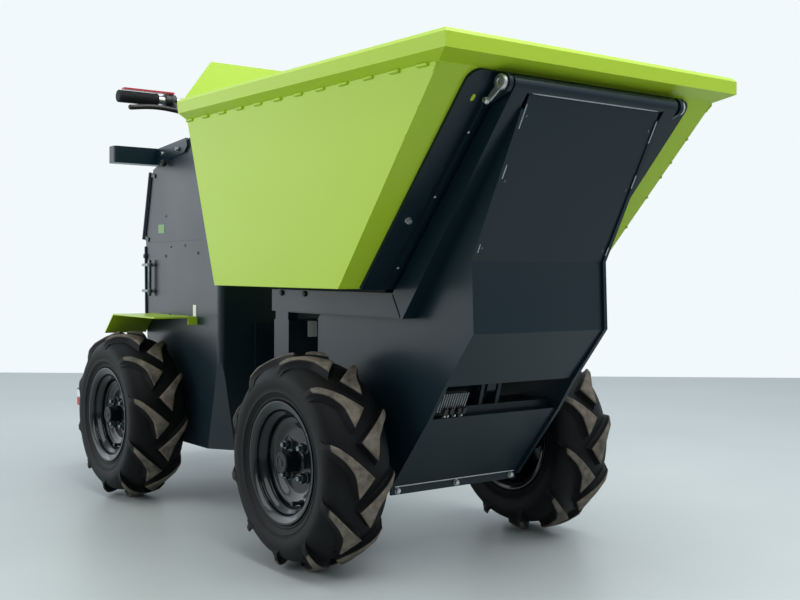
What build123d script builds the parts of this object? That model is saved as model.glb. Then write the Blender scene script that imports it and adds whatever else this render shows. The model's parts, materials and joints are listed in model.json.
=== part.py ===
"""Articulated electric site dumper with a forward tipping skip.

Frame: X points forwards (the side the skip tips to), Y to the machine's left,
Z up. The origin is on the ground under the middle of the machine's length.
Lengths are in millimetres. Stations along X are counted from the front axle.
"""
import os
from math import atan2, cos, hypot, sin

from build123d import *

os.makedirs("parts", exist_ok=True)

# ---- driving dimensions -------------------------------------------------
FRONT_AXLE_X = 383.0          # front axle, from the middle of the machine
WHEELBASE = 833.0
TRACK = 574.0
TYRE_RADIUS = 205.0           # over the lugs
TYRE_WIDTH = 142.0
LUG_HEIGHT = 16.0
LUGS_PER_SIDE = 10
TYRE_FACETS = 20              # flats round the tyre's carcass
RIM_SEAT_RADIUS = 101.6
RIM_FLANGE_RADIUS = 115.5
RIM_HALF_WIDTH = 63.0
SHAFT_RADIUS = 12.5
RUNNING_GAP = 0.06            # radial, shaft in bore

SKIP_SHEET = 5.0              # skip sheet, measured level
PLATE = 6.0
ARM_OUTER_Y = 200.0           # side frames, box section
ARM_INNER_Y = 168.0
NOSE_HALF_WIDTH = 160.0       # cover between the cheeks
CHEEK_THICKNESS = ARM_INNER_Y - NOSE_HALF_WIDTH

PIVOT_X, PIVOT_Z = 458.0, 866.0          # tipping axis, from the front axle
PIVOT_TUBE_RADIUS = 14.0
PIVOT_PIN_RADIUS = 8.0

WAIST_X = -400.0              # steering axis, from the front axle
WAIST_PIN_RADIUS = 14.0
REAR_AXLE_X = -WHEELBASE
CONSOLE_HALF_WIDTH = 200.0
CONSOLE_SHEET = 3.0

# skip outline, one row per level: height, rear x, front x, half width
SKIP_LEVELS = (
    (532.0, -330.0, 140.0, 315.0),
    (888.0, -419.0, 444.0, 335.0),
    (901.0, -422.0, 484.0, 355.0),
    (925.0, -428.0, 484.0, 355.0),
    (932.0, -430.0, 478.0, 349.0),
)
GUARD_HEIGHT = 97.0
GUARD_HALF_TOP, GUARD_HALF_BASE = 262.0, 340.0

# tip cylinder: lower eye on the chassis, rod eye on the tip frame, (x, z)
BARREL_EYE = (185.0, 345.0)
ROD_EYE = (370.0, 752.0)
BARREL_RADIUS, ROD_RADIUS = 24.0, 12.0
BARREL_LENGTH = 385.0
EYE_RADIUS, EYE_HALF_WIDTH = 13.0, 11.0
LUG_GAP = 6.0                 # from an eye to the lug plates beside it

# platform behind the console, (x, z) of its hinge
PLATFORM_HINGE = (-1050.0, 226.0)
PLATFORM_DEPTH = 200.0
PLATFORM_HALF_WIDTH = 272.0

SIDES = (("right", -1), ("left", 1))
EVERY_WHEEL = (
    ("front_right", 0.0, -1),
    ("front_left", 0.0, 1),
    ("rear_right", REAR_AXLE_X, -1),
    ("rear_left", REAR_AXLE_X, 1),
)


def fx(x):
    """A station counted from the front axle, in the part's frame."""
    return FRONT_AXLE_X + x


def side_plane(y):
    """Plane facing right (-Y) at y, with local x forwards and local y up."""
    return Plane(origin=(0, y, 0), x_dir=(1, 0, 0), z_dir=(0, -1, 0))


def outline(points, plane):
    """Closed straight-sided face through the points on the plane."""
    with BuildSketch(plane) as face:
        with BuildLine():
            Polyline(*points, close=True)
        make_face()
    return face.sketch


def side_face(points, y):
    """Closed face through (x, z) points, x from the front axle, at y."""
    return outline([(fx(x), z) for x, z in points], side_plane(y))


def rightwards(face, thickness):
    """Extrude a face towards the machine's right in the open part."""
    extrude(face, amount=thickness, dir=(0, -1, 0))


def cut(face, thickness):
    """Cut a face's run towards the machine's right out of the open part."""
    extrude(face, amount=thickness, dir=(0, -1, 0), mode=Mode.SUBTRACT)


def side_disc(x, z, radius, y):
    """Round face about the point (x, z), x from the front axle, at y."""
    with BuildSketch(side_plane(y)) as face:
        with Locations((fx(x), z)):
            Circle(radius)
    return face.sketch


def plan_face(points, z):
    """Closed face through (x, y) points, x from the front axle, at height z."""
    return outline([(fx(x), y) for x, y in points], Plane.XY.offset(z))


def bent_strip(points, thickness):
    """Outline of a folded sheet: the points, then the same line moved down-left.

    Each corner of the moved line is mitred, so the sheet keeps its thickness.
    """
    moved = []
    for i, (x, z) in enumerate(points):
        before = points[max(i - 1, 0)]
        after = points[min(i + 1, len(points) - 1)]
        legs = [(p, q) for p, q in ((before, (x, z)), ((x, z), after)) if p != q]
        normals = []
        for (ax, az), (bx, bz) in legs:
            run = hypot(bx - ax, bz - az)
            normals.append(((bz - az) / run, -(bx - ax) / run))
        nx = sum(n[0] for n in normals)
        nz = sum(n[1] for n in normals)
        size = nx * nx + nz * nz
        scale = len(normals) * thickness / size
        moved.append((x + nx * scale, z + nz * scale))
    return list(points) + moved[::-1]


def save(part, name):
    """Label a finished piece and write it."""
    part.label = name
    export_step(part, f"parts/{name}.step")


# ---- wheels ---------------------------------------------------------------
HALF_TYRE = TYRE_WIDTH / 2
TREAD_RADIUS = TYRE_RADIUS - LUG_HEIGHT
LUG_ROOT = 140.0              # foot of the lugs, inside the carcass
LUG_FLAT = TYRE_RADIUS - 1.66  # level of a lug's top, whose corners reach the tyre's radius
# carcass from side to side: distance from the middle, radius over the flats
CARCASS_RINGS = (
    (-HALF_TYRE + 2.0, 163.0),
    (-58.0, 180.0),
    (-22.0, TREAD_RADIUS),
    (22.0, TREAD_RADIUS),
    (58.0, 180.0),
    (HALF_TYRE - 2.0, 163.0),
)
BEAD_HALF_WIDTH = 58.5
SIDEWALL_FOOT, SIDEWALL_CREST = RIM_FLANGE_RADIUS + 1.5, 148.0
# lug seen from above: distance round the tyre, distance from the middle
LUG_PLAN = (
    (-67.4, 73.0), (-7.0, -10.4), (26.9, 18.8), (-14.4, 28.4), (-38.8, 45.7), (-58.7, 73.0),
)
# top of a lug along the tyre's width: distance from the middle, height over the axle
LUG_TOP = (
    (-12.0, LUG_FLAT), (26.0, LUG_FLAT), (46.0, 197.0), (58.0, 188.0),
    (68.0, 175.0), (HALF_TYRE, 158.0),
)
LUG_PHASE = 3.5               # degrees from the top of the wheel to a lug


def ring_face(offset, radius):
    """Many-sided face square to the wheel's axis, its flats at the radius."""
    with BuildSketch(Plane.XZ.offset(-offset)) as face:
        RegularPolygon(radius, TYRE_FACETS, major_radius=False)
    return face.sketch


def chevron_lug(hand):
    """One lug on top of the wheel, its outer end towards the hand's side."""
    with BuildPart() as lug:
        plan = [(run, out * hand) for run, out in LUG_PLAN]
        extrude(outline(plan, Plane.XY.offset(LUG_ROOT)), amount=TYRE_RADIUS)
        crest = [(out * hand, height) for out, height in LUG_TOP]
        foot = [(crest[-1][0], LUG_ROOT - 1.0), (crest[0][0], LUG_ROOT - 1.0)]
        extrude(outline(crest + foot, Plane.YZ), amount=TYRE_RADIUS, both=True, mode=Mode.INTERSECT)
    return lug.part


with BuildPart() as tyre_form:
    loft([ring_face(*ring) for ring in CARCASS_RINGS], ruled=True)
    for _, side in SIDES:
        sidewall = [
            ring_face(side * BEAD_HALF_WIDTH, SIDEWALL_FOOT),
            ring_face(side * (HALF_TYRE - 2.0), SIDEWALL_CREST),
        ]
        loft(sidewall, ruled=True, mode=Mode.SUBTRACT)
    bore = ring_face(-HALF_TYRE, RIM_SEAT_RADIUS + 0.3)
    extrude(bore, amount=TYRE_WIDTH, dir=(0, 1, 0), mode=Mode.SUBTRACT)
    for hand, turn in ((1, LUG_PHASE), (-1, LUG_PHASE + 180.0 / LUGS_PER_SIDE)):
        lug = chevron_lug(hand)
        pitch = 360.0 / LUGS_PER_SIDE
        add([lug.rotate(Axis.Y, turn + i * pitch) for i in range(LUGS_PER_SIDE)])

# rim section, outward face at +w: radius, distance from the wheel's middle
RIM_SHEET = 4.0
SEAT_INNER = RIM_SEAT_RADIUS - RIM_SHEET
FLANGE_FOOT = RIM_HALF_WIDTH - RIM_SHEET
WELL_RADIUS, WELL_HALF_WIDTH = 89.0, 42.0
WELL_INNER = WELL_RADIUS - RIM_SHEET
SEAT_LENGTH = 9.0
HUB_RADIUS, HUB_INNER = 30.0, -40.0
CAP_RADIUS, CAP_FACE = 19.0, 58.0        # hub end that stands out of the disc
DISC_STEPS = ((WELL_INNER, 31.0), (75.0, 29.0), (62.0, 23.0), (CAP_RADIUS, 25.0))
RIM_SECTION = (
    [
        (RIM_SEAT_RADIUS, -FLANGE_FOOT), (RIM_FLANGE_RADIUS, -FLANGE_FOOT),
        (RIM_FLANGE_RADIUS, -RIM_HALF_WIDTH), (SEAT_INNER, -RIM_HALF_WIDTH),
        (SEAT_INNER, SEAT_LENGTH - FLANGE_FOOT), (WELL_INNER, -WELL_HALF_WIDTH),
    ]
    + [(r, w - RIM_SHEET) for r, w in DISC_STEPS[:-1]]
    + [(HUB_RADIUS, DISC_STEPS[-2][1] - RIM_SHEET), (HUB_RADIUS, HUB_INNER), (0.0, HUB_INNER)]
    + [(0.0, CAP_FACE), (CAP_RADIUS, CAP_FACE)]
    + list(DISC_STEPS[::-1])
    + [
        (WELL_INNER, WELL_HALF_WIDTH), (SEAT_INNER, FLANGE_FOOT - SEAT_LENGTH),
        (SEAT_INNER, RIM_HALF_WIDTH), (RIM_FLANGE_RADIUS, RIM_HALF_WIDTH),
        (RIM_FLANGE_RADIUS, FLANGE_FOOT), (RIM_SEAT_RADIUS, FLANGE_FOOT),
        (RIM_SEAT_RADIUS, FLANGE_FOOT - SEAT_LENGTH), (WELL_RADIUS, WELL_HALF_WIDTH),
        (WELL_RADIUS, -WELL_HALF_WIDTH), (RIM_SEAT_RADIUS, SEAT_LENGTH - FLANGE_FOOT),
    ]
)
SHAFT_LENGTH = 60.0           # stub shaft inboard of the hub
with BuildPart() as rim_form:
    revolve(outline(RIM_SECTION, Plane.XY), Axis.Y)
    with BuildSketch(Plane.XZ.offset(-HUB_INNER)):
        Circle(SHAFT_RADIUS)
    extrude(amount=SHAFT_LENGTH)

for corner, station, side in EVERY_WHEEL:
    place = Location((fx(station), side * TRACK / 2, TYRE_RADIUS))
    save(place * tyre_form.part, f"tyre_{corner}")
    rim = rim_form.part if side > 0 else rim_form.part.mirror(Plane.XZ)
    save(place * rim, f"rim_{corner}")

# ---- skip -----------------------------------------------------------------
FLOOR_Z, KNEE_Z, LIP_Z, ROLL_Z, RIM_Z = (row[0] for row in SKIP_LEVELS)
WALL_LEAN = atan2(SKIP_LEVELS[1][2] - SKIP_LEVELS[0][2], KNEE_Z - FLOOR_Z)
REAR_SLOPE = (SKIP_LEVELS[1][1] - SKIP_LEVELS[0][1]) / (KNEE_Z - FLOOR_Z)
WALL_LENGTH = (KNEE_Z - FLOOR_Z) / cos(WALL_LEAN)


def skip_block(inset, heights):
    """Solid inside the skip's walls, each moved in level by the inset."""
    with BuildPart() as block:
        for (_, rear, front, half), z in zip(SKIP_LEVELS, heights):
            with BuildSketch(Plane.XY.offset(z)):
                with Locations((fx((rear + front) / 2), 0)):
                    Rectangle(front - rear - 2 * inset, 2 * (half - inset))
        loft(ruled=True)
    return block.part


outer_heights = [row[0] for row in SKIP_LEVELS]
inner_heights = [FLOOR_Z + 4.0, KNEE_Z + 2.0, LIP_Z + 2.0, ROLL_Z - 1.0, RIM_Z + 1.0]
rear_wall = Plane(
    origin=(fx(SKIP_LEVELS[-1][1]), 0, RIM_Z), x_dir=(0, -1, 0), z_dir=(-1, 0, REAR_SLOPE)
)
with BuildPart() as skip_tub:
    add(skip_block(0, outer_heights))
    add(skip_block(SKIP_SHEET, inner_heights), mode=Mode.SUBTRACT)
    guard = outline(
        [
            (-GUARD_HALF_BASE, -30.0), (GUARD_HALF_BASE, -30.0),
            (GUARD_HALF_BASE, 0.0), (GUARD_HALF_TOP, GUARD_HEIGHT),
            (-GUARD_HALF_TOP, GUARD_HEIGHT), (-GUARD_HALF_BASE, 0.0),
        ],
        rear_wall,
    )
    extrude(guard, amount=-SKIP_SHEET + 1.0)
save(skip_tub.part, "skip_tub")

# The tip frame lies on the skip's front wall: local x to the left, y up the wall,
# z outwards from the wall's face.
wall_plane = Plane(
    origin=(fx(SKIP_LEVELS[0][2]), 0, FLOOR_Z), x_dir=(0, 1, 0),
    z_dir=(cos(WALL_LEAN), 0, -sin(WALL_LEAN)),
)
FRAME_HALF_WIDTH = 270.0
FRAME_TOP = WALL_LENGTH - 1.0
RIB_Y, RIB_HEIGHT = 220.0, 14.0
EAR_THICKNESS = 8.0
EAR_INNER_Y = ARM_OUTER_Y + 6.0


def on_wall(x, z):
    """Distance up the wall of the point (x, z), x from the front axle."""
    return (x - SKIP_LEVELS[0][2]) * sin(WALL_LEAN) + (z - FLOOR_Z) * cos(WALL_LEAN)


def from_wall(x, z):
    """Distance of the point (x, z) outwards from the wall's face."""
    return (x - SKIP_LEVELS[0][2]) * cos(WALL_LEAN) - (z - FLOOR_Z) * sin(WALL_LEAN)


def wall_side_face(points, y):
    """Closed face through (up, out) points of the wall's frame, at y."""
    up, out = (sin(WALL_LEAN), cos(WALL_LEAN)), (cos(WALL_LEAN), -sin(WALL_LEAN))
    foot_x, foot_z = SKIP_LEVELS[0][2], FLOOR_Z
    return side_face(
        [(foot_x + a * up[0] + b * out[0], foot_z + a * up[1] + b * out[1]) for a, b in points], y
    )


pivot_up, pivot_out = on_wall(PIVOT_X, PIVOT_Z), from_wall(PIVOT_X, PIVOT_Z)
rod_up, rod_out = on_wall(*ROD_EYE), from_wall(*ROD_EYE)
with BuildPart() as tip_frame:
    with BuildSketch(wall_plane):
        with Locations((0, (FRAME_TOP + 6.0) / 2)):
            RectangleRounded(2 * FRAME_HALF_WIDTH, FRAME_TOP - 6.0, 25.0)
        with Locations((0, 53.0)):
            Rectangle(2 * FRAME_HALF_WIDTH, 100.0)
    extrude(amount=PLATE)
    for _, side in SIDES:
        # long folded rib outside the arm
        rib = wall_side_face(
            [(12.0, 0), (FRAME_TOP - 36.0, 0), (FRAME_TOP - 44.0, RIB_HEIGHT), (12.0, RIB_HEIGHT)],
            side * RIB_Y + 2.0,
        )
        rightwards(rib, 4.0)
        # hinge ear and its pin
        top = EAR_INNER_Y + EAR_THICKNESS if side > 0 else -EAR_INNER_Y
        ear = wall_side_face(
            [(pivot_up - 75.0, 0), (pivot_up + 5.0, 0), (pivot_up + 13.0, pivot_out - 4.0),
             (pivot_up - 12.0, pivot_out + 11.0)],
            top,
        )
        rightwards(ear, EAR_THICKNESS)
        rightwards(side_disc(PIVOT_X, PIVOT_Z, 16.0, top), EAR_THICKNESS)
        pin_end = EAR_INNER_Y + EAR_THICKNESS + 4.0 if side > 0 else -ARM_INNER_Y + 40.0
        pin_run = EAR_INNER_Y + EAR_THICKNESS + 4.0 - ARM_INNER_Y + 40.0
        rightwards(side_disc(PIVOT_X, PIVOT_Z, PIVOT_PIN_RADIUS, pin_end), pin_run)
        # plates that take the cylinder's rod eye
        lug_inner = EYE_HALF_WIDTH + LUG_GAP
        top = lug_inner + PLATE if side > 0 else -lug_inner
        rod_lug = wall_side_face(
            [(rod_up - 34.0, 0), (rod_up + 34.0, 0), (rod_up + 14.0, rod_out + 4.0),
             (rod_up - 14.0, rod_out + 4.0)],
            top,
        )
        rightwards(rod_lug, PLATE)
        rightwards(side_disc(*ROD_EYE, EYE_RADIUS - 1.0, top), PLATE)
save(tip_frame.part, "tip_frame")

# ---- tip cylinder ---------------------------------------------------------
STROKE_LEAN = atan2(ROD_EYE[0] - BARREL_EYE[0], ROD_EYE[1] - BARREL_EYE[1])
CLOSED_LENGTH = hypot(ROD_EYE[0] - BARREL_EYE[0], ROD_EYE[1] - BARREL_EYE[1])
cylinder_plane = Plane(
    origin=(fx(BARREL_EYE[0]), 0, BARREL_EYE[1]), x_dir=(0, 1, 0),
    z_dir=(sin(STROKE_LEAN), 0, cos(STROKE_LEAN)),
)
BARREL_FOOT = 20.0            # from the eye's centre to the barrel's foot
BORE_DEPTH = 230.0            # the rod's run inside the barrel
EYE_BORE = 8.0
with BuildPart() as tip_barrel:
    with BuildSketch(cylinder_plane.offset(BARREL_FOOT)):
        Circle(BARREL_RADIUS)
    extrude(amount=BARREL_LENGTH - BARREL_FOOT)
    rightwards(side_disc(*BARREL_EYE, EYE_RADIUS, EYE_HALF_WIDTH), 2 * EYE_HALF_WIDTH)
    with BuildSketch(cylinder_plane):
        Rectangle(2 * EYE_HALF_WIDTH, 24.0)
    extrude(amount=BARREL_FOOT + 1.0)
    with BuildSketch(cylinder_plane.offset(BARREL_LENGTH - BORE_DEPTH)):
        Circle(ROD_RADIUS + RUNNING_GAP)
    extrude(amount=BORE_DEPTH, mode=Mode.SUBTRACT)
    cut(side_disc(*BARREL_EYE, EYE_BORE + RUNNING_GAP, EYE_HALF_WIDTH), 2 * EYE_HALF_WIDTH)
save(tip_barrel.part, "tip_cylinder_barrel")

with BuildPart() as tip_rod:
    with BuildSketch(cylinder_plane.offset(BARREL_LENGTH - BORE_DEPTH + 5.0)):
        Circle(ROD_RADIUS)
    extrude(amount=CLOSED_LENGTH - BARREL_LENGTH + BORE_DEPTH - 5.0)
    rightwards(side_disc(*ROD_EYE, EYE_RADIUS, EYE_HALF_WIDTH), 2 * EYE_HALF_WIDTH)
    cut(side_disc(*ROD_EYE, EYE_BORE, EYE_HALF_WIDTH), 2 * EYE_HALF_WIDTH)
save(tip_rod.part, "tip_cylinder_rod")

# ---- front chassis --------------------------------------------------------
RAIL_BOTTOM, RAIL_TOP = 478.0, 524.0
RAIL_REAR_X = -286.0
ARM_FRONT_FOOT = (178.0, RAIL_BOTTOM)
ARM_WALL_GAP = 11.0           # rear edge of the arms, from the skip's front wall
NOSE_FOLD_TOP = (327.0, 582.0)
NOSE_FOLD_BOTTOM = (333.0, 456.0)
NOSE_TUCK = (252.0, 358.0)
LOWER_TOP = (211.0, 295.0)
LOWER_BOTTOM = (94.0, 152.0)
NOSE_SHEET = 5.0

arm_heel_x = SKIP_LEVELS[0][2] + (
    ARM_WALL_GAP - (FLOOR_Z - RAIL_TOP) * sin(WALL_LEAN)
) / cos(WALL_LEAN)
back_reach = pivot_out - ARM_WALL_GAP
for name, side in SIDES:
    with BuildPart() as side_frame:
        top = ARM_OUTER_Y if side > 0 else -ARM_INNER_Y
        arm = side_face(
            [
                (RAIL_REAR_X, RAIL_BOTTOM), ARM_FRONT_FOOT, (PIVOT_X + 11.0, PIVOT_Z - 8.4),
                (PIVOT_X, PIVOT_Z),
                (PIVOT_X - back_reach * cos(WALL_LEAN), PIVOT_Z + back_reach * sin(WALL_LEAN)),
                (arm_heel_x, RAIL_TOP), (RAIL_REAR_X, RAIL_TOP),
            ],
            top,
        )
        rightwards(arm, ARM_OUTER_Y - ARM_INNER_Y)
        rightwards(side_disc(PIVOT_X, PIVOT_Z, PIVOT_TUBE_RADIUS, top), ARM_OUTER_Y - ARM_INNER_Y)
        cut(
            side_disc(PIVOT_X, PIVOT_Z, PIVOT_PIN_RADIUS + RUNNING_GAP, top),
            ARM_OUTER_Y - ARM_INNER_Y,
        )
    save(side_frame.part, f"side_frame_{name}")

with BuildPart() as pivot_tube:
    rightwards(side_disc(PIVOT_X, PIVOT_Z, PIVOT_TUBE_RADIUS, ARM_INNER_Y), 2 * ARM_INNER_Y)
    cut(side_disc(PIVOT_X, PIVOT_Z, PIVOT_PIN_RADIUS + RUNNING_GAP, ARM_INNER_Y), 2 * ARM_INNER_Y)
save(pivot_tube.part, "pivot_tube")

cover_line = [(PIVOT_X + 4.0, PIVOT_Z - 14.0), NOSE_FOLD_TOP, NOSE_FOLD_BOTTOM, NOSE_TUCK]
lower_line = [(194.0, 299.0), LOWER_TOP, LOWER_BOTTOM, (-150.0, 152.0)]
with BuildPart() as nose_cover:
    strip = bent_strip(cover_line[::-1], -NOSE_SHEET)
    rightwards(side_face(strip, NOSE_HALF_WIDTH), 2 * NOSE_HALF_WIDTH)
    cut(side_disc(PIVOT_X, PIVOT_Z, PIVOT_TUBE_RADIUS, NOSE_HALF_WIDTH), 2 * NOSE_HALF_WIDTH)
save(nose_cover.part, "nose_cover")
with BuildPart() as belly_pan:
    strip = bent_strip(lower_line[::-1], -NOSE_SHEET)
    rightwards(side_face(strip, NOSE_HALF_WIDTH), 2 * NOSE_HALF_WIDTH)
    # stiffening flange that hangs at the foot of the slope
    flange = [(89.0, 137.0), (94.0, 137.0), (94.0, 155.0), (89.0, 155.0)]
    rightwards(side_face(flange, NOSE_HALF_WIDTH), 2 * NOSE_HALF_WIDTH)
save(belly_pan.part, "belly_pan")

CHEEK_REAR_X = -153.0
AXLE_RADIUS = 30.0
for name, side in SIDES:
    with BuildPart() as cheek:
        top = ARM_INNER_Y if side > 0 else -NOSE_HALF_WIDTH
        rightwards(
            side_face(
                [
                    (CHEEK_REAR_X, 190.0), (-110.0, 147.0), (99.0, 147.0), (215.0, 292.0),
                    (257.0, 354.0), (338.0, 457.0), (332.0, 584.0), (452.0, 828.0),
                    (436.0, 842.0), (158.0, RAIL_BOTTOM), (CHEEK_REAR_X + 12.0, RAIL_BOTTOM),
                    (CHEEK_REAR_X, RAIL_BOTTOM - 12.0),
                ],
                top,
            ),
            CHEEK_THICKNESS,
        )
        cut(side_disc(0.0, TYRE_RADIUS, AXLE_RADIUS, top), CHEEK_THICKNESS)
    save(cheek.part, f"nose_cheek_{name}")

# axle tube with its final drive case; bored for the wheels' stub shafts
AXLE_END_Y = TRACK / 2 + HUB_INNER - 8.0
DRIVE_CASE_RADIUS = 46.0


def drive_axle(station):
    """Axle tube, collars and final drive case about the wheel line."""
    with BuildPart() as axle:
        rightwards(side_disc(station, TYRE_RADIUS, AXLE_RADIUS, AXLE_END_Y), 2 * AXLE_END_Y)
        rightwards(side_disc(station, TYRE_RADIUS, DRIVE_CASE_RADIUS - 8.0, 60.0), 120.0)
        rightwards(side_disc(station, TYRE_RADIUS, DRIVE_CASE_RADIUS, 30.0), 60.0)
        for _, side in SIDES:
            extrude(
                side_disc(station, TYRE_RADIUS, SHAFT_RADIUS + RUNNING_GAP, side * AXLE_END_Y),
                amount=SHAFT_LENGTH, dir=(0, -side, 0), mode=Mode.SUBTRACT,
            )
    return axle.part


save(drive_axle(0.0), "front_axle")
save(drive_axle(REAR_AXLE_X), "rear_axle")

CLEVIS_THICKNESS = 8.0
with BuildPart() as cross_member:
    # plate across the nose box that carries the cylinder's lower eye
    foot_x, foot_z = BARREL_EYE
    beam = [
        (foot_x - 90.0, foot_z - 46.0), (foot_x + 4.0, foot_z - 46.0),
        (foot_x + 4.0, foot_z - 34.0), (foot_x - 90.0, foot_z - 34.0),
    ]
    rightwards(side_face(beam, NOSE_HALF_WIDTH), 2 * NOSE_HALF_WIDTH)
    for _, side in SIDES:
        inner = EYE_HALF_WIDTH + LUG_GAP
        top = inner + CLEVIS_THICKNESS if side > 0 else -inner
        rightwards(
            side_face(
                [
                    (foot_x - 26.0, foot_z - 36.0), (foot_x + 3.0, foot_z - 36.0),
                    (foot_x + 15.0, foot_z + 8.0), (foot_x - 15.0, foot_z + 8.0),
                ],
                top,
            ),
            CLEVIS_THICKNESS,
        )
        rightwards(side_disc(foot_x, foot_z, EYE_RADIUS, top), CLEVIS_THICKNESS)
    reach = EYE_HALF_WIDTH + LUG_GAP + CLEVIS_THICKNESS + 3.0
    rightwards(side_disc(foot_x, foot_z, EYE_BORE, reach), 2 * reach)
save(cross_member.part, "cylinder_mount")

# ---- waist ----------------------------------------------------------------
BRACKET_FRONT_X, BRACKET_REAR_X = -222.0, -281.0
BRACKET_TOP, BRACKET_FOOT = 460.0, 250.0
LUG_TOP_Z, LUG_FOOT_Z = 430.0, 262.0
WAIST_LUG = 14.0
WAIST_LUG_RADIUS = 32.0
with BuildPart() as waist_bracket:
    # back plate, top plate and two side flanges
    wide, narrow = ARM_OUTER_Y - 3.0, ARM_OUTER_Y - 11.0
    back = [(BRACKET_FRONT_X - 8.0, -narrow), (BRACKET_FRONT_X, -narrow),
            (BRACKET_FRONT_X, narrow), (BRACKET_FRONT_X - 8.0, narrow)]
    extrude(plan_face(back, BRACKET_FOOT), amount=BRACKET_TOP - BRACKET_FOOT, dir=(0, 0, 1))
    top = [(BRACKET_REAR_X, -wide), (BRACKET_FRONT_X, -wide),
           (BRACKET_FRONT_X, wide), (BRACKET_REAR_X, wide)]
    extrude(plan_face(top, BRACKET_TOP - 8.0), amount=8.0, dir=(0, 0, 1))
    for _, side in SIDES:
        flange = [
            (BRACKET_REAR_X, BRACKET_TOP - 6.0), (BRACKET_FRONT_X, BRACKET_TOP - 6.0),
            (BRACKET_FRONT_X, BRACKET_FOOT), (BRACKET_REAR_X + 30.0, BRACKET_FOOT),
            (BRACKET_REAR_X, 330.0),
        ]
        rightwards(side_face(flange, wide if side > 0 else -narrow), wide - narrow)
        pad = [
            (BRACKET_REAR_X + 4.0, BRACKET_TOP), (BRACKET_FRONT_X - 4.0, BRACKET_TOP),
            (BRACKET_FRONT_X - 4.0, RAIL_BOTTOM), (BRACKET_REAR_X + 4.0, RAIL_BOTTOM),
        ]
        rightwards(side_face(pad, ARM_OUTER_Y - 4.0 if side > 0 else -ARM_INNER_Y - 4.0), 24.0)
    for z in (LUG_TOP_Z, LUG_FOOT_Z - WAIST_LUG):
        lug = [(BRACKET_FRONT_X - 6.0, -90.0), (BRACKET_FRONT_X - 6.0, 90.0),
               (WAIST_X, WAIST_LUG_RADIUS), (WAIST_X, -WAIST_LUG_RADIUS)]
        extrude(plan_face(lug, z), amount=WAIST_LUG, dir=(0, 0, 1))
        with BuildSketch(Plane.XY.offset(z)):
            with Locations((fx(WAIST_X), 0)):
                Circle(WAIST_LUG_RADIUS)
        extrude(amount=WAIST_LUG)
    with BuildSketch(Plane.XY.offset(LUG_FOOT_Z - WAIST_LUG)):
        with Locations((fx(WAIST_X), 0)):
            Circle(WAIST_PIN_RADIUS)
    extrude(amount=LUG_TOP_Z + WAIST_LUG - LUG_FOOT_Z + WAIST_LUG + 8.0)
save(waist_bracket.part, "waist_bracket")

with BuildPart() as rail_tie:
    # cross tie between the rails, ahead of the waist
    tie = [(-60.0, RAIL_BOTTOM + 6.0), (-20.0, RAIL_BOTTOM + 6.0),
           (-20.0, RAIL_TOP - 6.0), (-60.0, RAIL_TOP - 6.0)]
    rightwards(side_face(tie, ARM_INNER_Y), 2 * ARM_INNER_Y)
save(rail_tie.part, "rail_tie")

with BuildPart() as rest_buffers:
    # rubber strips on the rails, half a millimetre under the skip's floor
    strip = [(-270.0, RAIL_TOP), (120.0, RAIL_TOP), (120.0, FLOOR_Z - 0.5), (-270.0, FLOOR_Z - 0.5)]
    for _, side in SIDES:
        rightwards(side_face(strip, side * (ARM_OUTER_Y + ARM_INNER_Y) / 2 + 12.0), 24.0)
save(rest_buffers.part, "rest_buffers")

FIN_COUNT, FIN_PITCH, FIN_THICKNESS = 12, 5.6, 2.4
CONTROLLER_Y = -85.0
with BuildPart() as controller:
    # finned controller that shows through the gap under the nose
    body = [(196.0, 306.0), (208.0, 306.0), (222.0, 344.0), (210.0, 344.0)]
    rightwards(side_face(body, CONTROLLER_Y), (FIN_COUNT - 1) * FIN_PITCH + FIN_THICKNESS)
    for i in range(FIN_COUNT):
        fin = [(206.0, 306.0), (216.0, 308.0), (232.0, 342.0), (220.0, 344.0)]
        rightwards(side_face(fin, CONTROLLER_Y - i * FIN_PITCH), FIN_THICKNESS)
save(controller.part, "controller")

with BuildPart() as front_motor:
    case = [(48.0, 190.0), (104.0, 190.0), (130.0, 222.0), (130.0, 276.0), (48.0, 276.0)]
    rightwards(side_face(case, 60.0), 120.0)
save(front_motor.part, "front_motor")

# ---- rear frame and console -----------------------------------------------
CONSOLE_FRONT_X = -523.0
CONSOLE_BOTTOM = 140.0
CONSOLE_LINE = (
    (CONSOLE_FRONT_X, CONSOLE_BOTTOM), (CONSOLE_FRONT_X, 880.0), (-560.0, 905.0), (-620.0, 905.0),
    (-892.0, 822.0), (-936.0, 640.0), (-930.0, 440.0), (-916.0, CONSOLE_BOTTOM),
)
# facet that cuts each lower front corner: run back, run inwards, run up
TOE_CUT = (59.0, 40.0, 260.0)
HATCH = (640.0, 812.0, 184.0)            # bottom, top, half width
NECK_HALF_WIDTH = 45.0
NECK_FOOT, NECK_TOP = LUG_FOOT_Z + 6.0, LUG_TOP_Z - 6.0
FRONT_CORNER = 16.0
console_cavity_line = [
    (CONSOLE_FRONT_X - CONSOLE_SHEET, CONSOLE_BOTTOM + 4.0), (CONSOLE_FRONT_X - CONSOLE_SHEET, 878.0),
    (-561.0, 902.0), (-619.0, 902.0), (-889.5, 819.5), (-932.8, 640.0), (-927.0, 440.0),
    (-913.0, CONSOLE_BOTTOM + 4.0),
]


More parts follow.
